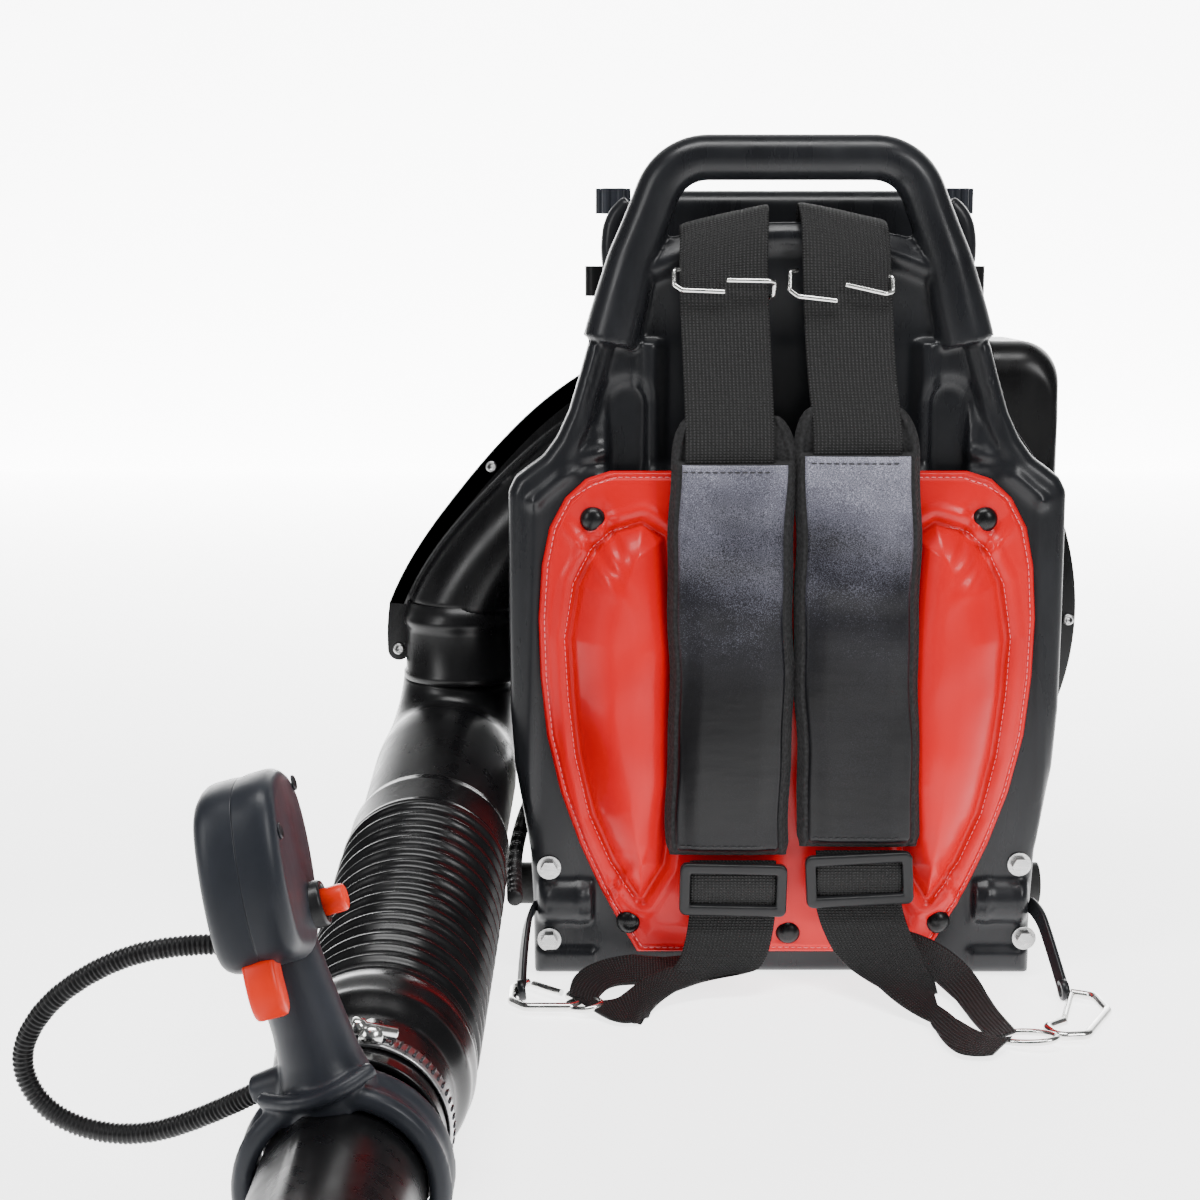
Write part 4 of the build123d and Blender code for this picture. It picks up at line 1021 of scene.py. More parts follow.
# ---- wire keepers ----
def add_keepers():
    """Two bent wire hooks on each webbing: one round its outer edge, one round its inner edge."""
    shapes = [
        [(-38, -131.0, 402), (-62, -131.5, 403), (-66.5, -130.0, 406), (-66.5, -126.5, 414), (-62, -122.5, 414)],
        [(-37, -132.0, 408.5), (-13, -132.0, 408), (-10, -129.5, 407), (-10.5, -125, 400), (-14, -122.5, 398)],
        [(25, -131.5, 397), (3, -132.0, 399.5), (-1.6, -130.5, 403), (-1.2, -126.5, 413), (3, -122.5, 414)],
        [(29.5, -131.5, 406), (52, -131.5, 401), (56.5, -129.5, 402), (56.5, -126.0, 410), (52, -122.0, 411)],
    ]
    for k, corners in enumerate(shapes):
        line = rounded_path(corners, [1.8, 1.6, 1.6], 0.6)
        wire = sweep(f"wire_keeper_{k + 1}", line, 1.45, CHROME, sides=18)
        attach(wire, "root")
        if k == 0:
            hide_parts("wire_keepers")


add_keepers()


# ---- buckles ----
def add_buckles():
    first = None
    for side, (x, z, tilt) in {"left": (-31, 60, -0.02), "right": (41.8, 66, 0.05)}.items():
        centre = np.array([x, 0, z])
        turn = np.array([[cos(tilt), 0, -sin(tilt)], [0, 1, 0], [sin(tilt), 0, cos(tilt)]])

        def place(points):
            return (points - centre) @ turn.T + centre

        outline = rounded_outline([(x - 31, z - 15.5), (x + 31, z - 15.5), (x + 31, z + 15.5), (x - 31, z + 15.5)],
                                  [4, 4, 4, 4], 1.0)
        ring = pillow("buckle_ring", outline, -148.5, -142.5, 1.4, None, hole=6.2, place=place)
        bars = [ring]
        for level, size, y in ((-1.0, 2.3, -141.0), (-12.4, 3.4, -145.2)):
            ends = place(np.array([[x - 28, y, z + level], [x + 28, y, z + level]]))
            bars.append(sweep("buckle_bar", ends, size, None, sides=18))
        buckle = weld(f"ladder_buckle_{side}", bars, 0.6, 2, BLACK_BUCKLE)
        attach(buckle, "root")
        first = first or buckle
    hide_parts("buckles")


add_buckles()


# ---- lower webbing ----
def add_lower_webbing():
    """Each side: the run from the buckle to the hook's ring, and the run back behind it."""
    down, flat = (1, 0, 0), (0, 1, 0.15)
    runs = {
        "left_front": ([(-31, -141, 76), (-31, -144.5, 71), (-31, -146.4, 60), (-31, -144.5, 51), (-31, -141, 44),
                        (-33, -146, 32), (-37, -154, 20), (-47, -163, 12), (-62, -170, 9), (-76, -176, 8),
                        (-92, -196, 5), (-106, -198, 5), (-118, -188, 6)],
                       [down, down, down, down, down, down, (0.97, 0.1, 0.15), (0.72, 0.6, 0.3), (0.3, 0.88, 0.4),
                        (0.05, 0.92, 0.36), (-0.25, 0.9, 0.2), (-0.4, 0.85, 0.2), (-0.7, 0.7, 0.2)],
                       [50, 50, 50, 50, 50, 50, 49, 48, 46, 42, 27, 22, 18]),
        "left_back": ([(-118, -184, 7), (-117, -170, 9), (-109, -154, 11), (-94, -143, 11), (-74, -139, 10),
                       (-52, -137, 12)],
                      [(-0.8, 0.5, 0.1), (-0.8, 0.6, 0.2), (-0.45, 0.85, 0.3), (0, 0.9, 0.35), flat, flat],
                      [18, 22, 25, 27, 27, 27]),
        "right_front": ([(41.8, -141, 82), (41.8, -144.5, 77), (41.8, -146.4, 66), (41.8, -144.5, 57),
                         (42, -141, 50), (45, -146, 38), (53, -156, 23), (64, -168, 11), (73, -186, 7),
                         (80, -215, 6), (88, -243, 5), (98, -254, 5), (107, -250, 5)],
                        [down, down, down, down, down, (1, 0.05, -0.1), (0.9, 0.3, -0.2), (0.6, 0.75, 0.1),
                         (0.4, 0.85, 0.3), (0.75, 0.35, 0.3), (0.8, 0.45, 0.2), (0.75, 0.6, 0.15),
                         (0.6, 0.8, 0.15)],
                        [50, 50, 50, 50, 50, 48, 38, 27, 16, 14, 20, 26, 24]),
        "right_back": ([(50, -137, 31), (66, -138, 26), (82, -142, 20), (94, -150, 13), (101, -164, 8),
                        (104, -190, 6), (106, -215, 6), (110, -238, 6)],
                       [(0.1, 0.9, 0.4), (0, 0.85, 0.5), (0.3, 0.6, 0.7), (0.8, 0.3, 0.5), (0.97, 0.1, 0.2),
                        (0.97, 0.1, 0.2), (0.9, 0.3, 0.2), (0.85, 0.5, 0.1)],
                       [26, 24, 22, 20, 18, 17, 17, 18]),
    }
    for tag, (route, across, wide) in runs.items():
        line = resample(nurbs_points(route, 12), 1.6)
        count = len(line)
        spots = np.linspace(0, 1, len(across))
        turned = np.stack([np.interp(np.linspace(0, 1, count), spots, [a[k] for a in across])
                           for k in range(3)], -1)
        widths = np.interp(np.linspace(0, 1, count), np.linspace(0, 1, len(wide)), wide)
        strap = ribbon(f"lower_webbing_{tag}", line, turned, widths, 1.7, WEB)
        for vertex in strap.data.vertices:
            if vertex.co.z < 0.0016:
                wave = 0.0006 * sin(vertex.co.x * 700 + vertex.co.y * 300)
                vertex.co.z = 0.0010 + wave + 0.15 * max(0, vertex.co.z)
        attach(strap, "root")
        if tag == "left_front":
            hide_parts("lower_webbing")


add_lower_webbing()


# ---- snap hooks, rings and their brackets ----
def add_hooks():
    routes = {
        "left": ([(-126, -170, 5), (-116, -180, 5), (-124, -190, 5), (-150, -190, 5), (-158, -180, 5),
                  (-158, -158, 5), (-150, -148, 5)], (-117, -186, 6.5)),
        "right": ([(148, -212, 5), (136, -222, 5), (140, -236, 5), (156, -234, 5), (176, -196, 5),
                   (174, -172, 5), (162, -166, 5)], (122, -238, 6.5)),
    }
    for side, (corners, ring_at) in routes.items():
        line = rounded_path(corners, [5.5, 5.5, 6.0, 6.0, 7.0], 0.8)
        hook = sweep(f"snap_hook_{side}", line, 2.5, CHROME, sides=20)
        turns = np.linspace(0, 2 * pi, 61)
        reach = 9.5 if side == "left" else 15.5
        loop = [(ring_at[0] + reach * cos(t), ring_at[1] + 8.5 * sin(t) - 0.25 * reach * cos(t),
                 5.2 + 1.6 * cos(t)) for t in turns]
        ring = sweep(f"webbing_ring_{side}", loop, 1.8, CHROME, sides=16)
        for piece in (hook, ring):
            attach(piece, "root")
        if side == "left":
            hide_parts("snap_hooks")
    for side, corners in (("left", [(-147, -116, 40), (-150, -124, 38), (-152, -140, 26), (-153, -156, 12),
                                    (-153, -164, 6)]),
                          ("right", [(147, -116, 42), (151, -124, 40), (154, -140, 27), (157, -156, 12),
                                     (158, -164, 6)])):
        line = resample(nurbs_points(corners), 1.0)
        strap = ribbon(f"hook_bracket_{side}", line, (0.35, 0.1, 0.93), 9.0, 3.4, BLACK_FRAME)
        eye = lathe(f"hook_bracket_eye_{side}", [(-2.2, 3.2), (-2.2, 5.6), (-1.4, 6.2), (1.4, 6.2), (2.2, 5.6),
                                                (2.2, 3.2)], line[-1], (1, 0.1, 0.1), BLACK_FRAME, 32)
        for piece in (strap, eye):
            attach(piece, "root")
        if side == "left":
            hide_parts("hook_brackets")


add_hooks()


# ---- elbow, hose and blow tube ----
def add_elbow():
    corners = [(COLLAR_X, FAN_Y, 178), ELBOW_CORNER, ELBOW_END + (ELBOW_END - ELBOW_CORNER) * 0.08]
    line = rounded_path(corners, [50], 2.0)
    along = distances(line)
    radii = 31.6 + 3.2 * smooth_step(13, 15, along) + 7.7 * smooth_step(15, 95, along)
    pipe = sweep("fan_elbow", line, radii, BLACK_TUBE, sides=72, inner=2.6)
    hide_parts("elbow_pipe")
    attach(pipe, "elbow")


def hose_line():
    start = ELBOW_END - unit(ELBOW_END - ELBOW_CORNER) * 18
    route = [start, ELBOW_END, (ELBOW_END + HOSE_MIDDLE) / 2 + np.array([0, 0, -1.5]), HOSE_MIDDLE,
             (HOSE_MIDDLE + TUBE_START) / 2 + np.array([0, 0, -0.5]), TUBE_START, TUBE_START + TUBE_AXIS * 52]
    return resample(nurbs_points([tuple(p) for p in route], 24), 0.9)


def add_hose():
    line = hose_line()
    along = np.arange(len(line)) * path_length(line) / (len(line) - 1)
    total = along[-1]
    first, last = 38.0, total - 92.0
    pitch = (last - first) / 15.0
    phase = (along - first) / pitch
    rib = (0.5 + 0.5 * np.cos(2 * pi * phase)) ** 2.4
    inside_ribs = smooth_step(first - 2, first + 2, along) * (1 - smooth_step(last - 2, last + 2, along))
    radii = 45.6 + 0 * along
    radii = radii - (1 - rib) * 2.9 * inside_ribs + 1.3 * inside_ribs
    # smooth cuff over the elbow, and a shoulder that necks down to the clamp
    radii = radii - 1.6 * (1 - smooth_step(0, 8, along))
    radii = radii + 1.0 * bump_at(along, first - 3, 4)
    radii = radii + 1.4 * bump_at(along, last + 12, 12)
    radii = radii - 6.5 * smooth_step(last + 26, last + 44, along)
    radii = radii - 1.0 * bump_at(along, total - 16, 9)
    hose = sweep("corrugated_hose", line, radii, BLACK_HOSE, sides=84, inner=2.2)
    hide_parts("flex_hose")
    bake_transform(hose)


def add_clamp_band():
    origin = TUBE_START + TUBE_AXIS * 32
    section = [(-6.5, 39.2), (-6.5, 40.4), (-5.5, 40.9), (5.5, 40.9), (6.5, 40.4), (6.5, 39.2)]
    band = lathe("hose_clamp_band", section, origin, TUBE_AXIS, STEEL, 96)
    slots = []
    for k in range(26):
        angle = radians(-30 + 5.2 * k)
        side = np.array([cos(angle), 0, sin(angle)])
        lean = np.array([-sin(angle), 0, cos(angle)])
        centre = origin + side * 41.0
        slots.append(sweep("slot", [centre - TUBE_AXIS * 3.8 - lean * 0.6, centre + TUBE_AXIS * 3.8 + lean * 0.6],
                           0.75, None, sides=8))
    ridges = join("hose_clamp_thread", slots, DARK_STEEL)
    top = origin + np.array([8.0, 0, 43.5])
    shape = [(-11, 0.3), (-11, 3.4), (-10, 4.2), (-6, 4.2), (-5, 3.0), (9, 3.0), (9.5, 0.3)]
    screw = lathe("hose_clamp_screw", shape, top, (0.94, 0.05, -0.2), CHROME, 24, False)
    housing = sweep("hose_clamp_housing", [top - np.array([2, 7, 1.5]), top + np.array([-2, 7, -1.5])],
                    5.2, CHROME, sides=24, squash=0.85)
    for piece in (band, ridges, screw, housing):
        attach(piece, "blow_tube")
    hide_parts("hose_clamp")


def tube_frame(station):
    return TUBE_START + TUBE_AXIS * station


def add_tubes():
    """Control tube with a moulded rib along its top, straight tube and nozzle."""
    def tube(name, stations, radii, node, body, ridge=0.0):
        sides = 96
        angles = np.linspace(0, 2 * pi, sides, endpoint=False)
        side = np.cross(TUBE_AXIS, (0, 0, 1.0))
        side /= np.linalg.norm(side)
        up = np.cross(side, TUBE_AXIS)
        rings, inner = [], []
        for s, r in zip(stations, radii):
            lift = ridge * np.exp(-((angles - radians(68)) / 0.13) ** 2)
            ring = np.outer(np.cos(angles), side) + np.outer(np.sin(angles), up)
            rings.append(tube_frame(s) + ring * (r + lift)[:, None])
            inner.append(tube_frame(s) + ring * (r - 2.3))
        points = np.concatenate(rings + inner)
        count = len(stations)
        base = count * sides
        faces = grid_faces(count, sides, wrap=True) + grid_faces(count, sides, start=base, wrap=True, flip=True)
        faces += rim_faces(count, sides, base)
        piece = make_object(name, points, faces, BLACK_TUBE)
        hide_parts(node)
        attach(piece, body)

    tube("control_pipe", [22, 60, 120, 200, 280, 300], [35.0] * 6, "control_tube", "blow_tube", 1.8)
    stations = [286, 288, 292, 300, 304, 310, 420, 540, 560]
    radii = [36.6, 37.4, 38.0, 38.0, 37.4, 37.3, 37.3, 37.3, 37.3]
    tube("middle_pipe", stations, radii, "straight_tube", "blow_tube")
    stations = [546, 548, 552, 566, 572, 600, 650, 700, 745, 770, 776, 780, 796, 800]
    radii = [38.4, 39.1, 39.5, 39.5, 38.9, 38.9, 37.2, 35.5, 33.9, 33.1, 33.6, 33.9, 33.9, 33.2]
    tube("outlet_nozzle", stations, radii, "nozzle", "nozzle")


def grip_axes():
    ring = tube_frame(RING_STATION)
    up = np.array([-sin(GRIP_TILT), 0.09, cos(GRIP_TILT)])
    up /= np.linalg.norm(up)
    side = np.array([cos(GRIP_TILT), 0, sin(GRIP_TILT)])
    back = np.cross(up, side)
    return ring, side, back, up


def at_grip(u, v, w):
    """A point of the grip: u to the side, v back towards the machine, w up the grip."""
    ring, side, back, up = grip_axes()
    return ring + side * u + back * v + up * w


def add_handle():
    ring = grip_axes()[0]
    # clamp ring: a rounded lip at each end with a shallow band between
    profile = [(-13, 36), (-14.5, 39), (-13.5, 43), (-10, 45.2), (-6, 44.2), (-3, 42.6), (3, 42.6), (6, 44.2),
               (10, 45.2), (13.5, 43), (14.5, 39), (13, 36)]
    collar = lathe("collar", profile, ring, TUBE_AXIS, None, 96)
    # the grip's neck, oval and flared where it lands on the ring
    parts = [collar]
    rings = [(30, 22, 21, 0, 3), (42, 19.5, 20, 0, 4), (52, 16.8, 18, 0, 4.5), (66, 15.4, 17, 0, 4.5),
             (84, 14.6, 17, 0.5, 3.5), (104, 14.2, 18, 2, 2.5), (120, 13.6, 19, 3, 2.5)]
    parts.append(oval_column("neck", rings))
    # saddle lip in front of the neck
    lip = [at_grip(-20, -12, 44), at_grip(-12, -19, 42), at_grip(3, -22.5, 40), at_grip(17, -19, 42),
           at_grip(26, -10, 44)]
    parts.append(sweep("lip", resample(nurbs_points([tuple(p) for p in lip]), 1.0), 3.4, None, sides=20))
    # boss for the loom on the left of the saddle
    parts.append(sweep("boss", [at_grip(-8, 0, 46), at_grip(-26, 3, 45)], [8.0, 6.2], None, sides=24))
    clamp = weld("handle_saddle", parts, 1.3, 3, BLACK_GRIP)
    bore = lathe("bore", [(-60, 34.9), (60, 34.9)], ring, TUBE_AXIS, None, 96, False)
    cut = clamp.modifiers.new("bore", "BOOLEAN")
    cut.operation = "DIFFERENCE"
    cut.object = bore
    cut.solver = "EXACT"
    apply_modifiers(clamp)
    bpy.data.objects.remove(bore)
    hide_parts("handle_clamp")
    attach(clamp, "blow_tube")
    add_head()
    add_trigger()
    add_stop_switch()


def oval_column(name, rings, sides=48):
    points = []
    angles = np.linspace(0, 2 * pi, sides, endpoint=False)
    for w, half_u, half_v, shift, lean in rings:
        for angle in angles:
            points.append(at_grip(lean + half_u * cos(angle), shift + half_v * sin(angle), w))
    faces = grid_faces(len(rings), sides, wrap=True)
    faces += end_caps(len(rings), sides)
    return make_object(name, points, faces, None)


HEAD_PROFILE = [(-22, 97), (-40, 102), (-47, 114), (-50, 133), (-46, 154), (-37, 168), (-18, 173), (2, 172),
                (20, 164), (29, 149), (31, 130), (26, 112), (16, 99), (0, 93)]


def at_head(u, v, w):
    """A point of the throttle housing, which stands straighter than the grip's neck."""
    return at_grip(u * 0.93 + 1.2 + 0.10 * (w - 98), v * 0.9 - 3.5, w)


def add_head():
    """The throttle housing: a rounded block in two shells with a seam between them."""
    loop = nurbs_loop(HEAD_PROFILE, 96)
    centre = loop.mean(axis=0)
    for name, sign, node in (("throttle_shell_left", -1, "grip_shell_left"),
                             ("throttle_shell_right", 1, "grip_shell_right")):
        stations = [0.06, 0.6, 4, 8, 11, 13.5, 15.6, 17.0, 17.8, 18.0]
        points = []
        for depth in stations:
            rounding = max(0.0, depth - 11.0) / 7.0
            inset = 7.0 * (1 - sqrt(max(0.0, 1 - rounding ** 2)))
            if depth < 1.0:
                inset = 0.45
            for v, w in loop:
                away = np.array([v, w]) - centre
                away *= max(0.0, 1 - inset / np.linalg.norm(away))
                v2, w2 = centre + away
                points.append(at_head(sign * depth, v2, w2))
        count = len(loop)
        faces = grid_faces(len(stations), count, wrap=True, flip=sign < 0)
        caps = end_caps(len(stations), count)
        faces += caps if sign > 0 else [cap[::-1] for cap in caps]
        shell = make_object(name, points, faces, BLACK_GRIP)
        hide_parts(node)
        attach(shell, "blow_tube")
    # housing screws on the right face
    for k, (v, w) in enumerate([(-36, 150), (14, 162), (8, 112)]):
        screw = lathe(f"housing_screw_{k + 1}", [(0, 0.2), (0, 3.2), (0.7, 3.2), (1.1, 2.6), (0.5, 1.6), (0.5, 0.2)],
                      at_head(17.9, v, w), grip_axes()[1], DARK_STEEL, 24, False)
        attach(screw, "blow_tube")


def nurbs_loop(corners, count):
    """A smooth closed outline: a periodic quadratic B-spline through a ring of corners."""
    corners = np.asarray(corners, float)
    size = len(corners)
    points = []
    for t in np.linspace(0, size, count, endpoint=False):
        i = int(t)
        f = t - i
        a, b, c = corners[i - 1], corners[i % size], corners[(i + 1) % size]
        points.append(a * 0.5 * (1 - f) ** 2 + b * (0.5 + f * (1 - f)) + c * 0.5 * f ** 2)
    return np.array(points)


def add_trigger():
    profile = nurbs_loop([(-24, 108), (-34, 108), (-40, 101), (-43, 91), (-42, 83), (-37, 79), (-31, 82), (-29, 90),
                          (-27, 99)], 60)
    points = []
    stations = [(-6.2, 1.4), (-5.6, 0.4), (-4.2, 0), (4.6, 0), (6.2, 0.4), (6.8, 1.4)]
    centre = profile.mean(axis=0)
    for u, inset in stations:
        for v, w in profile:
            away = np.array([v, w]) - centre
            away *= 1 - inset / np.linalg.norm(away)
            v2, w2 = centre + away
            points.append(at_grip(u, v2, w2))
    count = len(profile)
    faces = grid_faces(len(stations), count, wrap=True)
    faces += end_caps(len(stations), count)
    piece = make_object("throttle_trigger", points, faces, ORANGE)
    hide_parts("trigger")
    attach(piece, "trigger")


def add_stop_switch():
    side = grip_axes()[1]
    origin = at_grip(14.5, 4, 112)
    base = lathe("switch_collar", [(0, 7.2), (0, 10.4), (1.5, 10.6), (2.4, 9.8), (8.5, 9.6), (9.6, 9.0), (9.8, 7.8),
                                   (9.2, 7.2)], origin, side, BLACK_BUCKLE, 48)
    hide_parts("stop_switch")
    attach(base, "blow_tube")
    profile = [(6, 0.2), (6, 5.7), (17, 5.7), (18.2, 5.3), (18.7, 4.4), (18.4, 3.4), (18, 0.2)]
    button = lathe("switch_button", profile, origin, side, ORANGE, 48, False)
    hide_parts("stop_button")
    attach(button, "stop_button")


add_elbow()
add_hose()
add_clamp_band()
add_tubes()
add_handle()


# ---- fan scroll ----
SPIRAL = [(-152, 160), (-90, 160), (-45, 171), (0, 184), (45, 190), (90, 194), (130, 198), (156, 212), (176, 238)]


def scroll_path():
    """Flange outline of the scroll with its inward normals, out to the top of the collar."""
    angles = [a for a, _ in SPIRAL]
    radii = [r for _, r in SPIRAL]
    a = np.linspace(angles[0], angles[-1], 170)
    r = catmull(angles, radii, a)
    x = np.cos(np.radians(a)) * r
    z = CRANK_Z + np.sin(np.radians(a)) * r
    inward = -np.stack([np.cos(np.radians(a)), np.sin(np.radians(a))], -1)
    return np.stack([x, z], -1), inward


def catmull(xs, ys, at):
    """Smooth interpolation by cubic Hermite with finite-difference slopes."""
    xs, ys = np.asarray(xs, float), np.asarray(ys, float)
    slopes = np.gradient(ys, xs)
    i = np.clip(np.searchsorted(xs, at) - 1, 0, len(xs) - 2)
    h = xs[i + 1] - xs[i]
    t = (at - xs[i]) / h
    h00 = 2 * t ** 3 - 3 * t ** 2 + 1
    h10 = t ** 3 - 2 * t ** 2 + t
    return h00 * ys[i] + h10 * h * slopes[i] + (1 - h00) * ys[i + 1] + (t ** 3 - t ** 2) * h * slopes[i + 1]


def scroll_half(name, node, sign):
    """One half of the scroll: flange, rounded body, and the duct that it turns into."""
    path, inward = scroll_path()
    rows = len(path)
    duct = smooth_step(rows - 62, rows - 3, np.arange(rows))
    narrow = smooth_step(rows - 30, rows - 2, np.arange(rows))
    outer = []
    for i in range(rows):
        d = duct[i]
        start = 20 - 8.5 * narrow[i]
        round_over = 40 * (1 - d) + COLLAR_R * d
        depth = SCROLL_HALF * (1 - d) + COLLAR_R * d
        line = [(0, 0.0), (0, 2.0), (0.9, 3.0), (start - 2.5, 3.0), (start - 0.6, 3.6), (start, 5.0)]
        for t in np.linspace(0.12, pi / 2, 16):
            line.append((start + round_over * (1 - cos(t)), depth * sin(t)))
        crest = start + round_over
        reach = 96 * (1 - d) + (start + 2 * COLLAR_R) * d
        for t in np.linspace(0, 1, 12)[1:]:
            inset = crest + (reach - crest) * t
            fall = depth * sqrt(max(0.0, 1 - t * t))
            line.append((inset, (1 - d) * depth + d * max(fall, 0.5)))
        line += [(reach - 1.0, line[-1][1] * 0.5), (crest, max(1.0, depth - 8)), (start + 6, 4.0), (start + 5, 0.0)]
        for inset, out in line:
            point = path[i] + inward[i] * inset
            outer.append((point[0], FAN_Y - sign * out, point[1]))
    profile_steps = len(line)
    faces = grid_faces(rows, profile_steps, wrap=True)
    faces += end_caps(rows, profile_steps)
    shell = facing_out(make_object(name + "_shell", outer, faces, None))
    # outlet collar: half of a round sleeve with two beads
    angles = np.linspace(0, pi, 40)
    beads = [(DUCT_BOTTOM, 34.6), (DUCT_BOTTOM + 1, 36.0), (DUCT_BOTTOM + 5, 36.0), (DUCT_BOTTOM + 7, 34.6),
             (DUCT_BOTTOM + 30, 34.4), (DUCT_BOTTOM + 33, 34.4), (DUCT_BOTTOM + 35, 35.8), (DUCT_BOTTOM + 39, 35.8),
             (DUCT_BOTTOM + 41, 34.2), (DUCT_BOTTOM + 48, COLLAR_R)]
    beads += [(DUCT_BOTTOM + 48, 31.5), (DUCT_BOTTOM, 33.0)]
    points = [(COLLAR_X + r * cos(a), FAN_Y - sign * r * sin(a), z) for a in angles for z, r in beads]
    faces = grid_faces(len(angles), len(beads), wrap=True, flip=sign > 0)
    faces += end_caps(len(angles), len(beads))
    sleeve = facing_out(make_object(name + "_sleeve", points, faces, None))
    # the flange runs on down past the collar and ends in a screw lobe
    edge = path[-26:]
    lobe_turns = np.linspace(pi, 2 * pi, 16)
    lobe_arc = np.stack([-232 + 6.8 * np.cos(lobe_turns), 182.5 + 6.8 * np.sin(lobe_turns)], -1)
    side = np.array([(-238.4, 203), (-238.9, 196), (-239.0, 189)])
    inner_edge = (edge + inward[-26:] * 11.5)[::-1]
    tail = np.concatenate([edge, side, lobe_arc, [(-225.3, 192), (-225.6, 202)], inner_edge])
    lobe = pillow(name + "_tail", tail, FAN_Y - 3.0 if sign > 0 else FAN_Y + 0.02,
                  FAN_Y - 0.02 if sign > 0 else FAN_Y + 3.0, 0.8, None)
    piece = join(name, [shell, sleeve, lobe], BLACK_GLOSS)
    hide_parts(node)
    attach(piece, "root")
    return piece


def add_scroll():
    scroll_half("fan_scroll_front", "volute_front", 1)
    scroll_half("fan_scroll_rear", "volute_rear", -1)
    places = [(-60, 161), (-20, 172), (2, 180), (40, 183), (75, 186), (110, 189), (150, 201)]
    spots = [(cos(radians(a)) * r, CRANK_Z + sin(radians(a)) * r) for a, r in places] + [(-232, 183)]
    for k, (x, z) in enumerate(spots):
        screw = lathe(f"scroll_screw_{k + 1}", [(0, 0.2), (0, 3.6), (1.4, 3.6), (2.2, 3.0), (2.5, 1.9), (1.4, 1.7),
                                               (1.3, 0.2)], (x, FAN_Y - 2.8, z), (0, -1, 0), ZINC, 24, False)
        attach(screw, "root")
        if k == 0:
            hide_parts("volute_screws")


def add_starter_rope():
    """The starter's rope, which pays out between the housing's eye and the grip."""
    height = CRANK_Z + 30.4
    line = np.array([(x, 128, height) for x in np.arange(-2, -88, -1.0)])
    along = np.arange(len(line))
    rope = sweep("starter_rope", line, 2.0 - 0.12 * (along % 2), BLACK_THREAD, sides=16)
    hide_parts("recoil_rope")
    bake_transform(rope)


def add_muffler_guard():
    """The muffler's hood: a rolled outer skin whose front edge turns over in a wide radius."""
    outer = resample(rounded_path([(138, 0, 369), (183, 0, 369), (183, 0, 150)], [24], 1.0), 3.0)
    inner = np.array([(138, 0, 300), (168, 0, 262), (168, 0, 150)], float)
    reach = distances(inner)
    along = np.linspace(0, reach[-1], len(outer))
    inner = np.stack([np.interp(along, reach, inner[:, k]) for k in range(3)], -1)
    points = []
    for rim, hem in zip(outer, inner):
        across = hem - rim
        gap = np.linalg.norm(across)
        across = across / gap
        radius = min(22.0, gap * 0.8)
        for y in np.linspace(99.5, 8 + radius, 8):
            points.append((rim[0], y, rim[2]))
        for turn in np.linspace(0, pi / 2, 12)[1:]:
            spot = rim + across * radius * (1 - cos(turn))
            points.append((spot[0], 8 + radius * (1 - sin(turn)), spot[2]))
        for share in np.linspace(0, 1, 6)[1:]:
            spot = rim + across * (radius + (gap - radius) * share)
            points.append((spot[0], 8 + 4 * share ** 2, spot[2]))
    columns = len(points) // len(outer)
    hood = make_object("muffler_hood", points, grid_faces(len(outer), columns), BLACK_GLOSS)
    wall = hood.modifiers.new("wall", "SOLIDIFY")
    wall.thickness = 3 * MM
    wall.offset = 1 if hood.data.polygons[0].normal.x < 0 or hood.data.polygons[0].normal.z < 0 else -1
    apply_modifiers(hood)
    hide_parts("muffler_guard")
    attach(hood, "root")


def add_filter_cover():
    """The air filter's cover with its side clips, behind the carrying handle."""
    outline = rounded_outline([(-88, 404), (96, 404), (92, 460), (-84, 460)], [4, 4, 14, 14], 2.0)
    cover = pillow("filter_cover_shell", outline, -70, 46, 11, None)
    parts = [cover]
    for side, x in ((-1, -90), (1, 98)):
        for y in (-52, 30):
            clip = [(x, y, 452), (x + side * 9, y, 446), (x + side * 12, y, 426), (x + side * 9, y, 409),
                    (x + side * 14, y, 401)]
            parts.append(sweep("clip", resample(nurbs_points(clip), 2.0), 6.5, None, sides=20))
    skin = weld("filter_cover", parts, 1.8, 3, BLACK_FRAME)
    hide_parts("air_filter_cover")
    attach(skin, "filter_cover")


add_filter_cover()
add_muffler_guard()
add_starter_rope()
add_scroll()


# ---- finishes of the CAD parts that stay as they are ----
FINISH = {
    "base_tray": BLACK_FRAME, "clamp_caps": BLACK_FRAME, "mount_bar": DARK_STEEL, "mount_bushes": RUBBER,
    "clamp_bolts": ZINC,
    "impeller": ALLOY, "impeller_nut": ZINC, "crankshaft": STEEL, "flywheel": ALLOY, "crankcase": ALLOY,
    "crank_bearings": STEEL, "cylinder": ALLOY, "piston": ALLOY, "spark_plug": CHROME, "plug_boot": RUBBER,
    "muffler": STEEL, "carburetor": ALLOY, "intake_duct": RUBBER,
    "choke_lever": ORANGE, "air_filter_base": BLACK_GLOSS, "air_filter_element": PAPER,
    "filter_knob_left": BLACK_GRIP, "filter_knob_right": BLACK_GRIP,
    "fuel_tank": TANK, "fuel_cap": BLACK_GRIP, "recoil_housing": BLACK_GLOSS, "recoil_pulley": BLACK_GRIP,
    "recoil_grip": BLACK_GRIP, "snap_gate_left": CHROME,
    "snap_gate_right": CHROME,
}


def finish_cad_parts():
    for node, material in FINISH.items():
        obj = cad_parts[node]
        for slot in obj.material_slots:
            slot.link = "OBJECT"
            slot.material = material


finish_cad_parts()


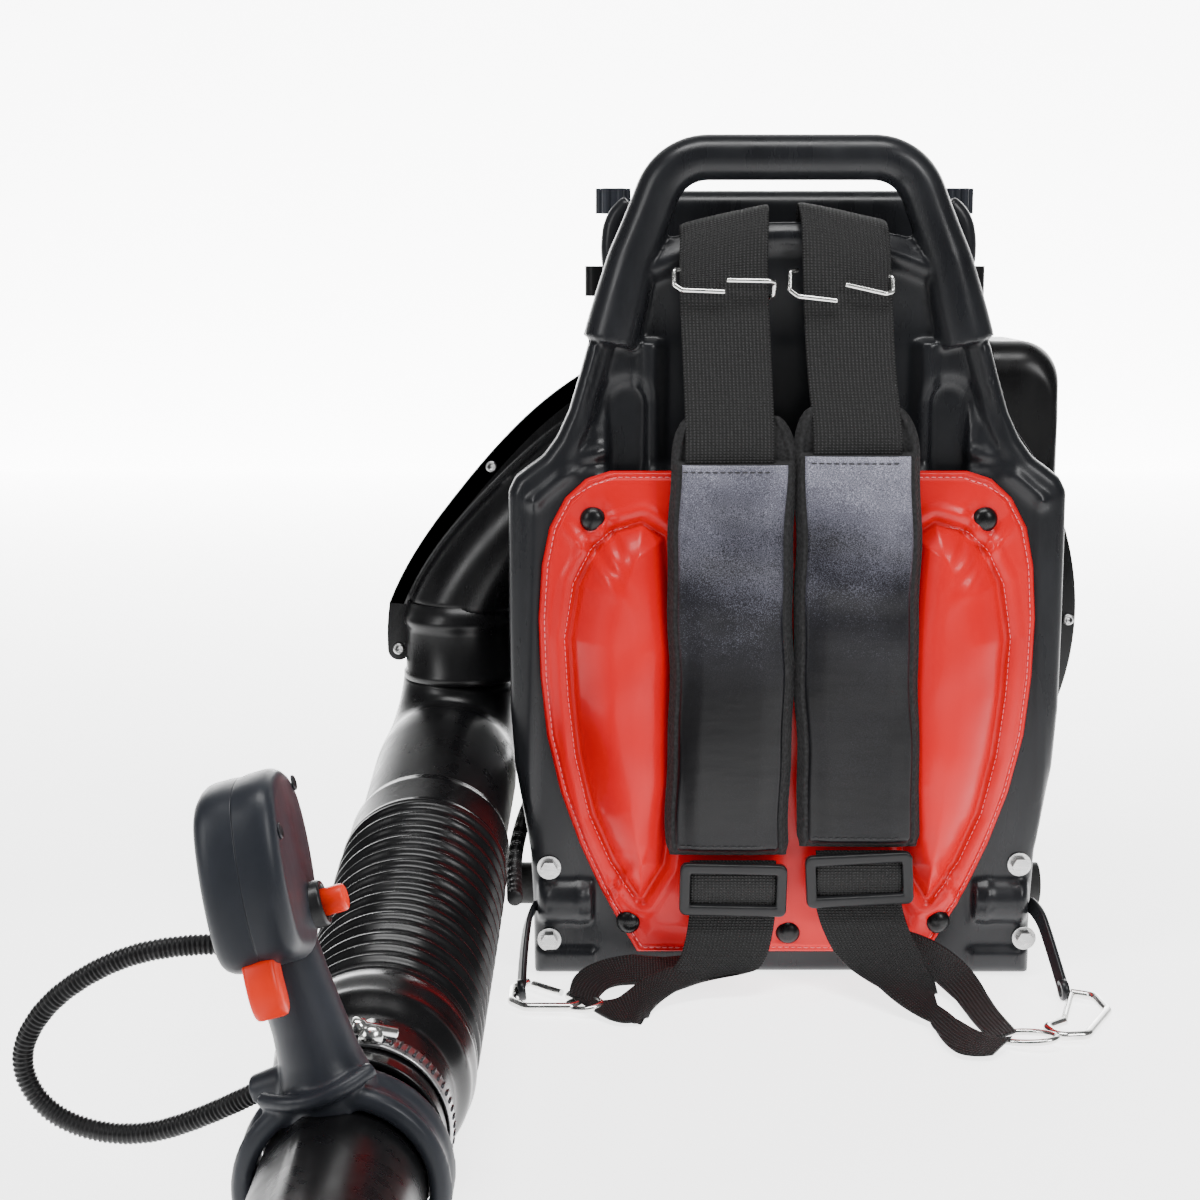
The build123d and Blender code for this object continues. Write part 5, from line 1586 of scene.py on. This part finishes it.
# ---- floor and light ----
def glowing(name, tone, near, far):
    """A pale matte surface that also gives off a little light behind and under the machine."""
    m = Nodes(name, tone, 0.7)
    m.roughness(m.remap(m.noise(2.5, 3), 0.3, 0.7, 0.65, 0.75))
    m.shader.inputs["Emission Color"].default_value = (1, 1, 1, 1)
    spot = m.node("ShaderNodeSeparateXYZ")
    m.link(m.coordinates(), spot.inputs[0])
    depth = m.remap(spot.outputs["Y"], 0.1, 2.4, near, far)
    front = m.remap(spot.outputs["Y"], -0.9, -0.45, 0.12, 1.0)
    spread = m.math("ABSOLUTE", m.math("ADD", spot.outputs["X"], 0.1), 0.0)
    spread = m.math("SUBTRACT", spread, m.math("MULTIPLY", spot.outputs["Y"], 0.3))
    sides = m.remap(spread, 0.5, 1.1, 1.0, 0.12)
    high = m.remap(spot.outputs["Z"], 1.05, 1.6, 1.0, 0.1)
    share = m.math("MULTIPLY", m.math("MULTIPLY", front, sides), high)
    m.link(m.math("MULTIPLY", depth, share), m.shader.inputs["Emission Strength"])
    return m.material


def flat_sheet(name, corners, material):
    data = bpy.data.meshes.new(name)
    data.from_pydata(corners, [], [(0, 1, 2, 3)])
    data.materials.append(material)
    obj = bpy.data.objects.new(name, data)
    bpy.context.collection.objects.link(obj)


def add_stage():
    pale = (0.9, 0.9, 0.9)
    floor = glowing("floor_paint", pale, 2.8, 6.8)
    paper = glowing("paper", pale, 6.8, 6.8)
    flat_sheet("floor", [(-5, -4, 0), (5, -4, 0), (5, 3, 0), (-5, 3, 0)], floor)
    flat_sheet("backdrop", [(-5, 3, 0), (5, 3, 0), (5, 3, 4.5), (-5, 3, 4.5)], paper)

    world = bpy.data.worlds.new("studio")
    bpy.context.scene.world = world
    world.use_nodes = True
    background = world.node_tree.nodes["Background"]
    background.inputs["Color"].default_value = (1, 1, 1, 1)
    background.inputs["Strength"].default_value = 0.15

    for name, place, size, power, aim in (
        ("key_light", (1.3, -1.7, 1.5), (0.5, 0.9), 30, (0, -0.1, 0.25)),
        ("fill_light", (-1.7, -1.4, 1.1), (0.4, 1.2), 20, (-0.1, -0.2, 0.2)),
        ("top_light", (-0.1, -0.6, 1.9), (1.3, 0.5), 34, (-0.1, -0.15, 0.25)),
        ("rim_light", (1.2, 1.6, 1.2), (1.0, 1.0), 10, (0, 0, 0.25)),
    ):
        light = bpy.data.lights.new(name, "AREA")
        light.shape = "RECTANGLE"
        light.size, light.size_y = size
        light.energy = power
        lamp = bpy.data.objects.new(name, light)
        lamp.location = place
        lamp.rotation_euler = (Vector(aim) - Vector(place)).to_track_quat("-Z", "Y").to_euler()
        bpy.context.collection.objects.link(lamp)


add_stage()
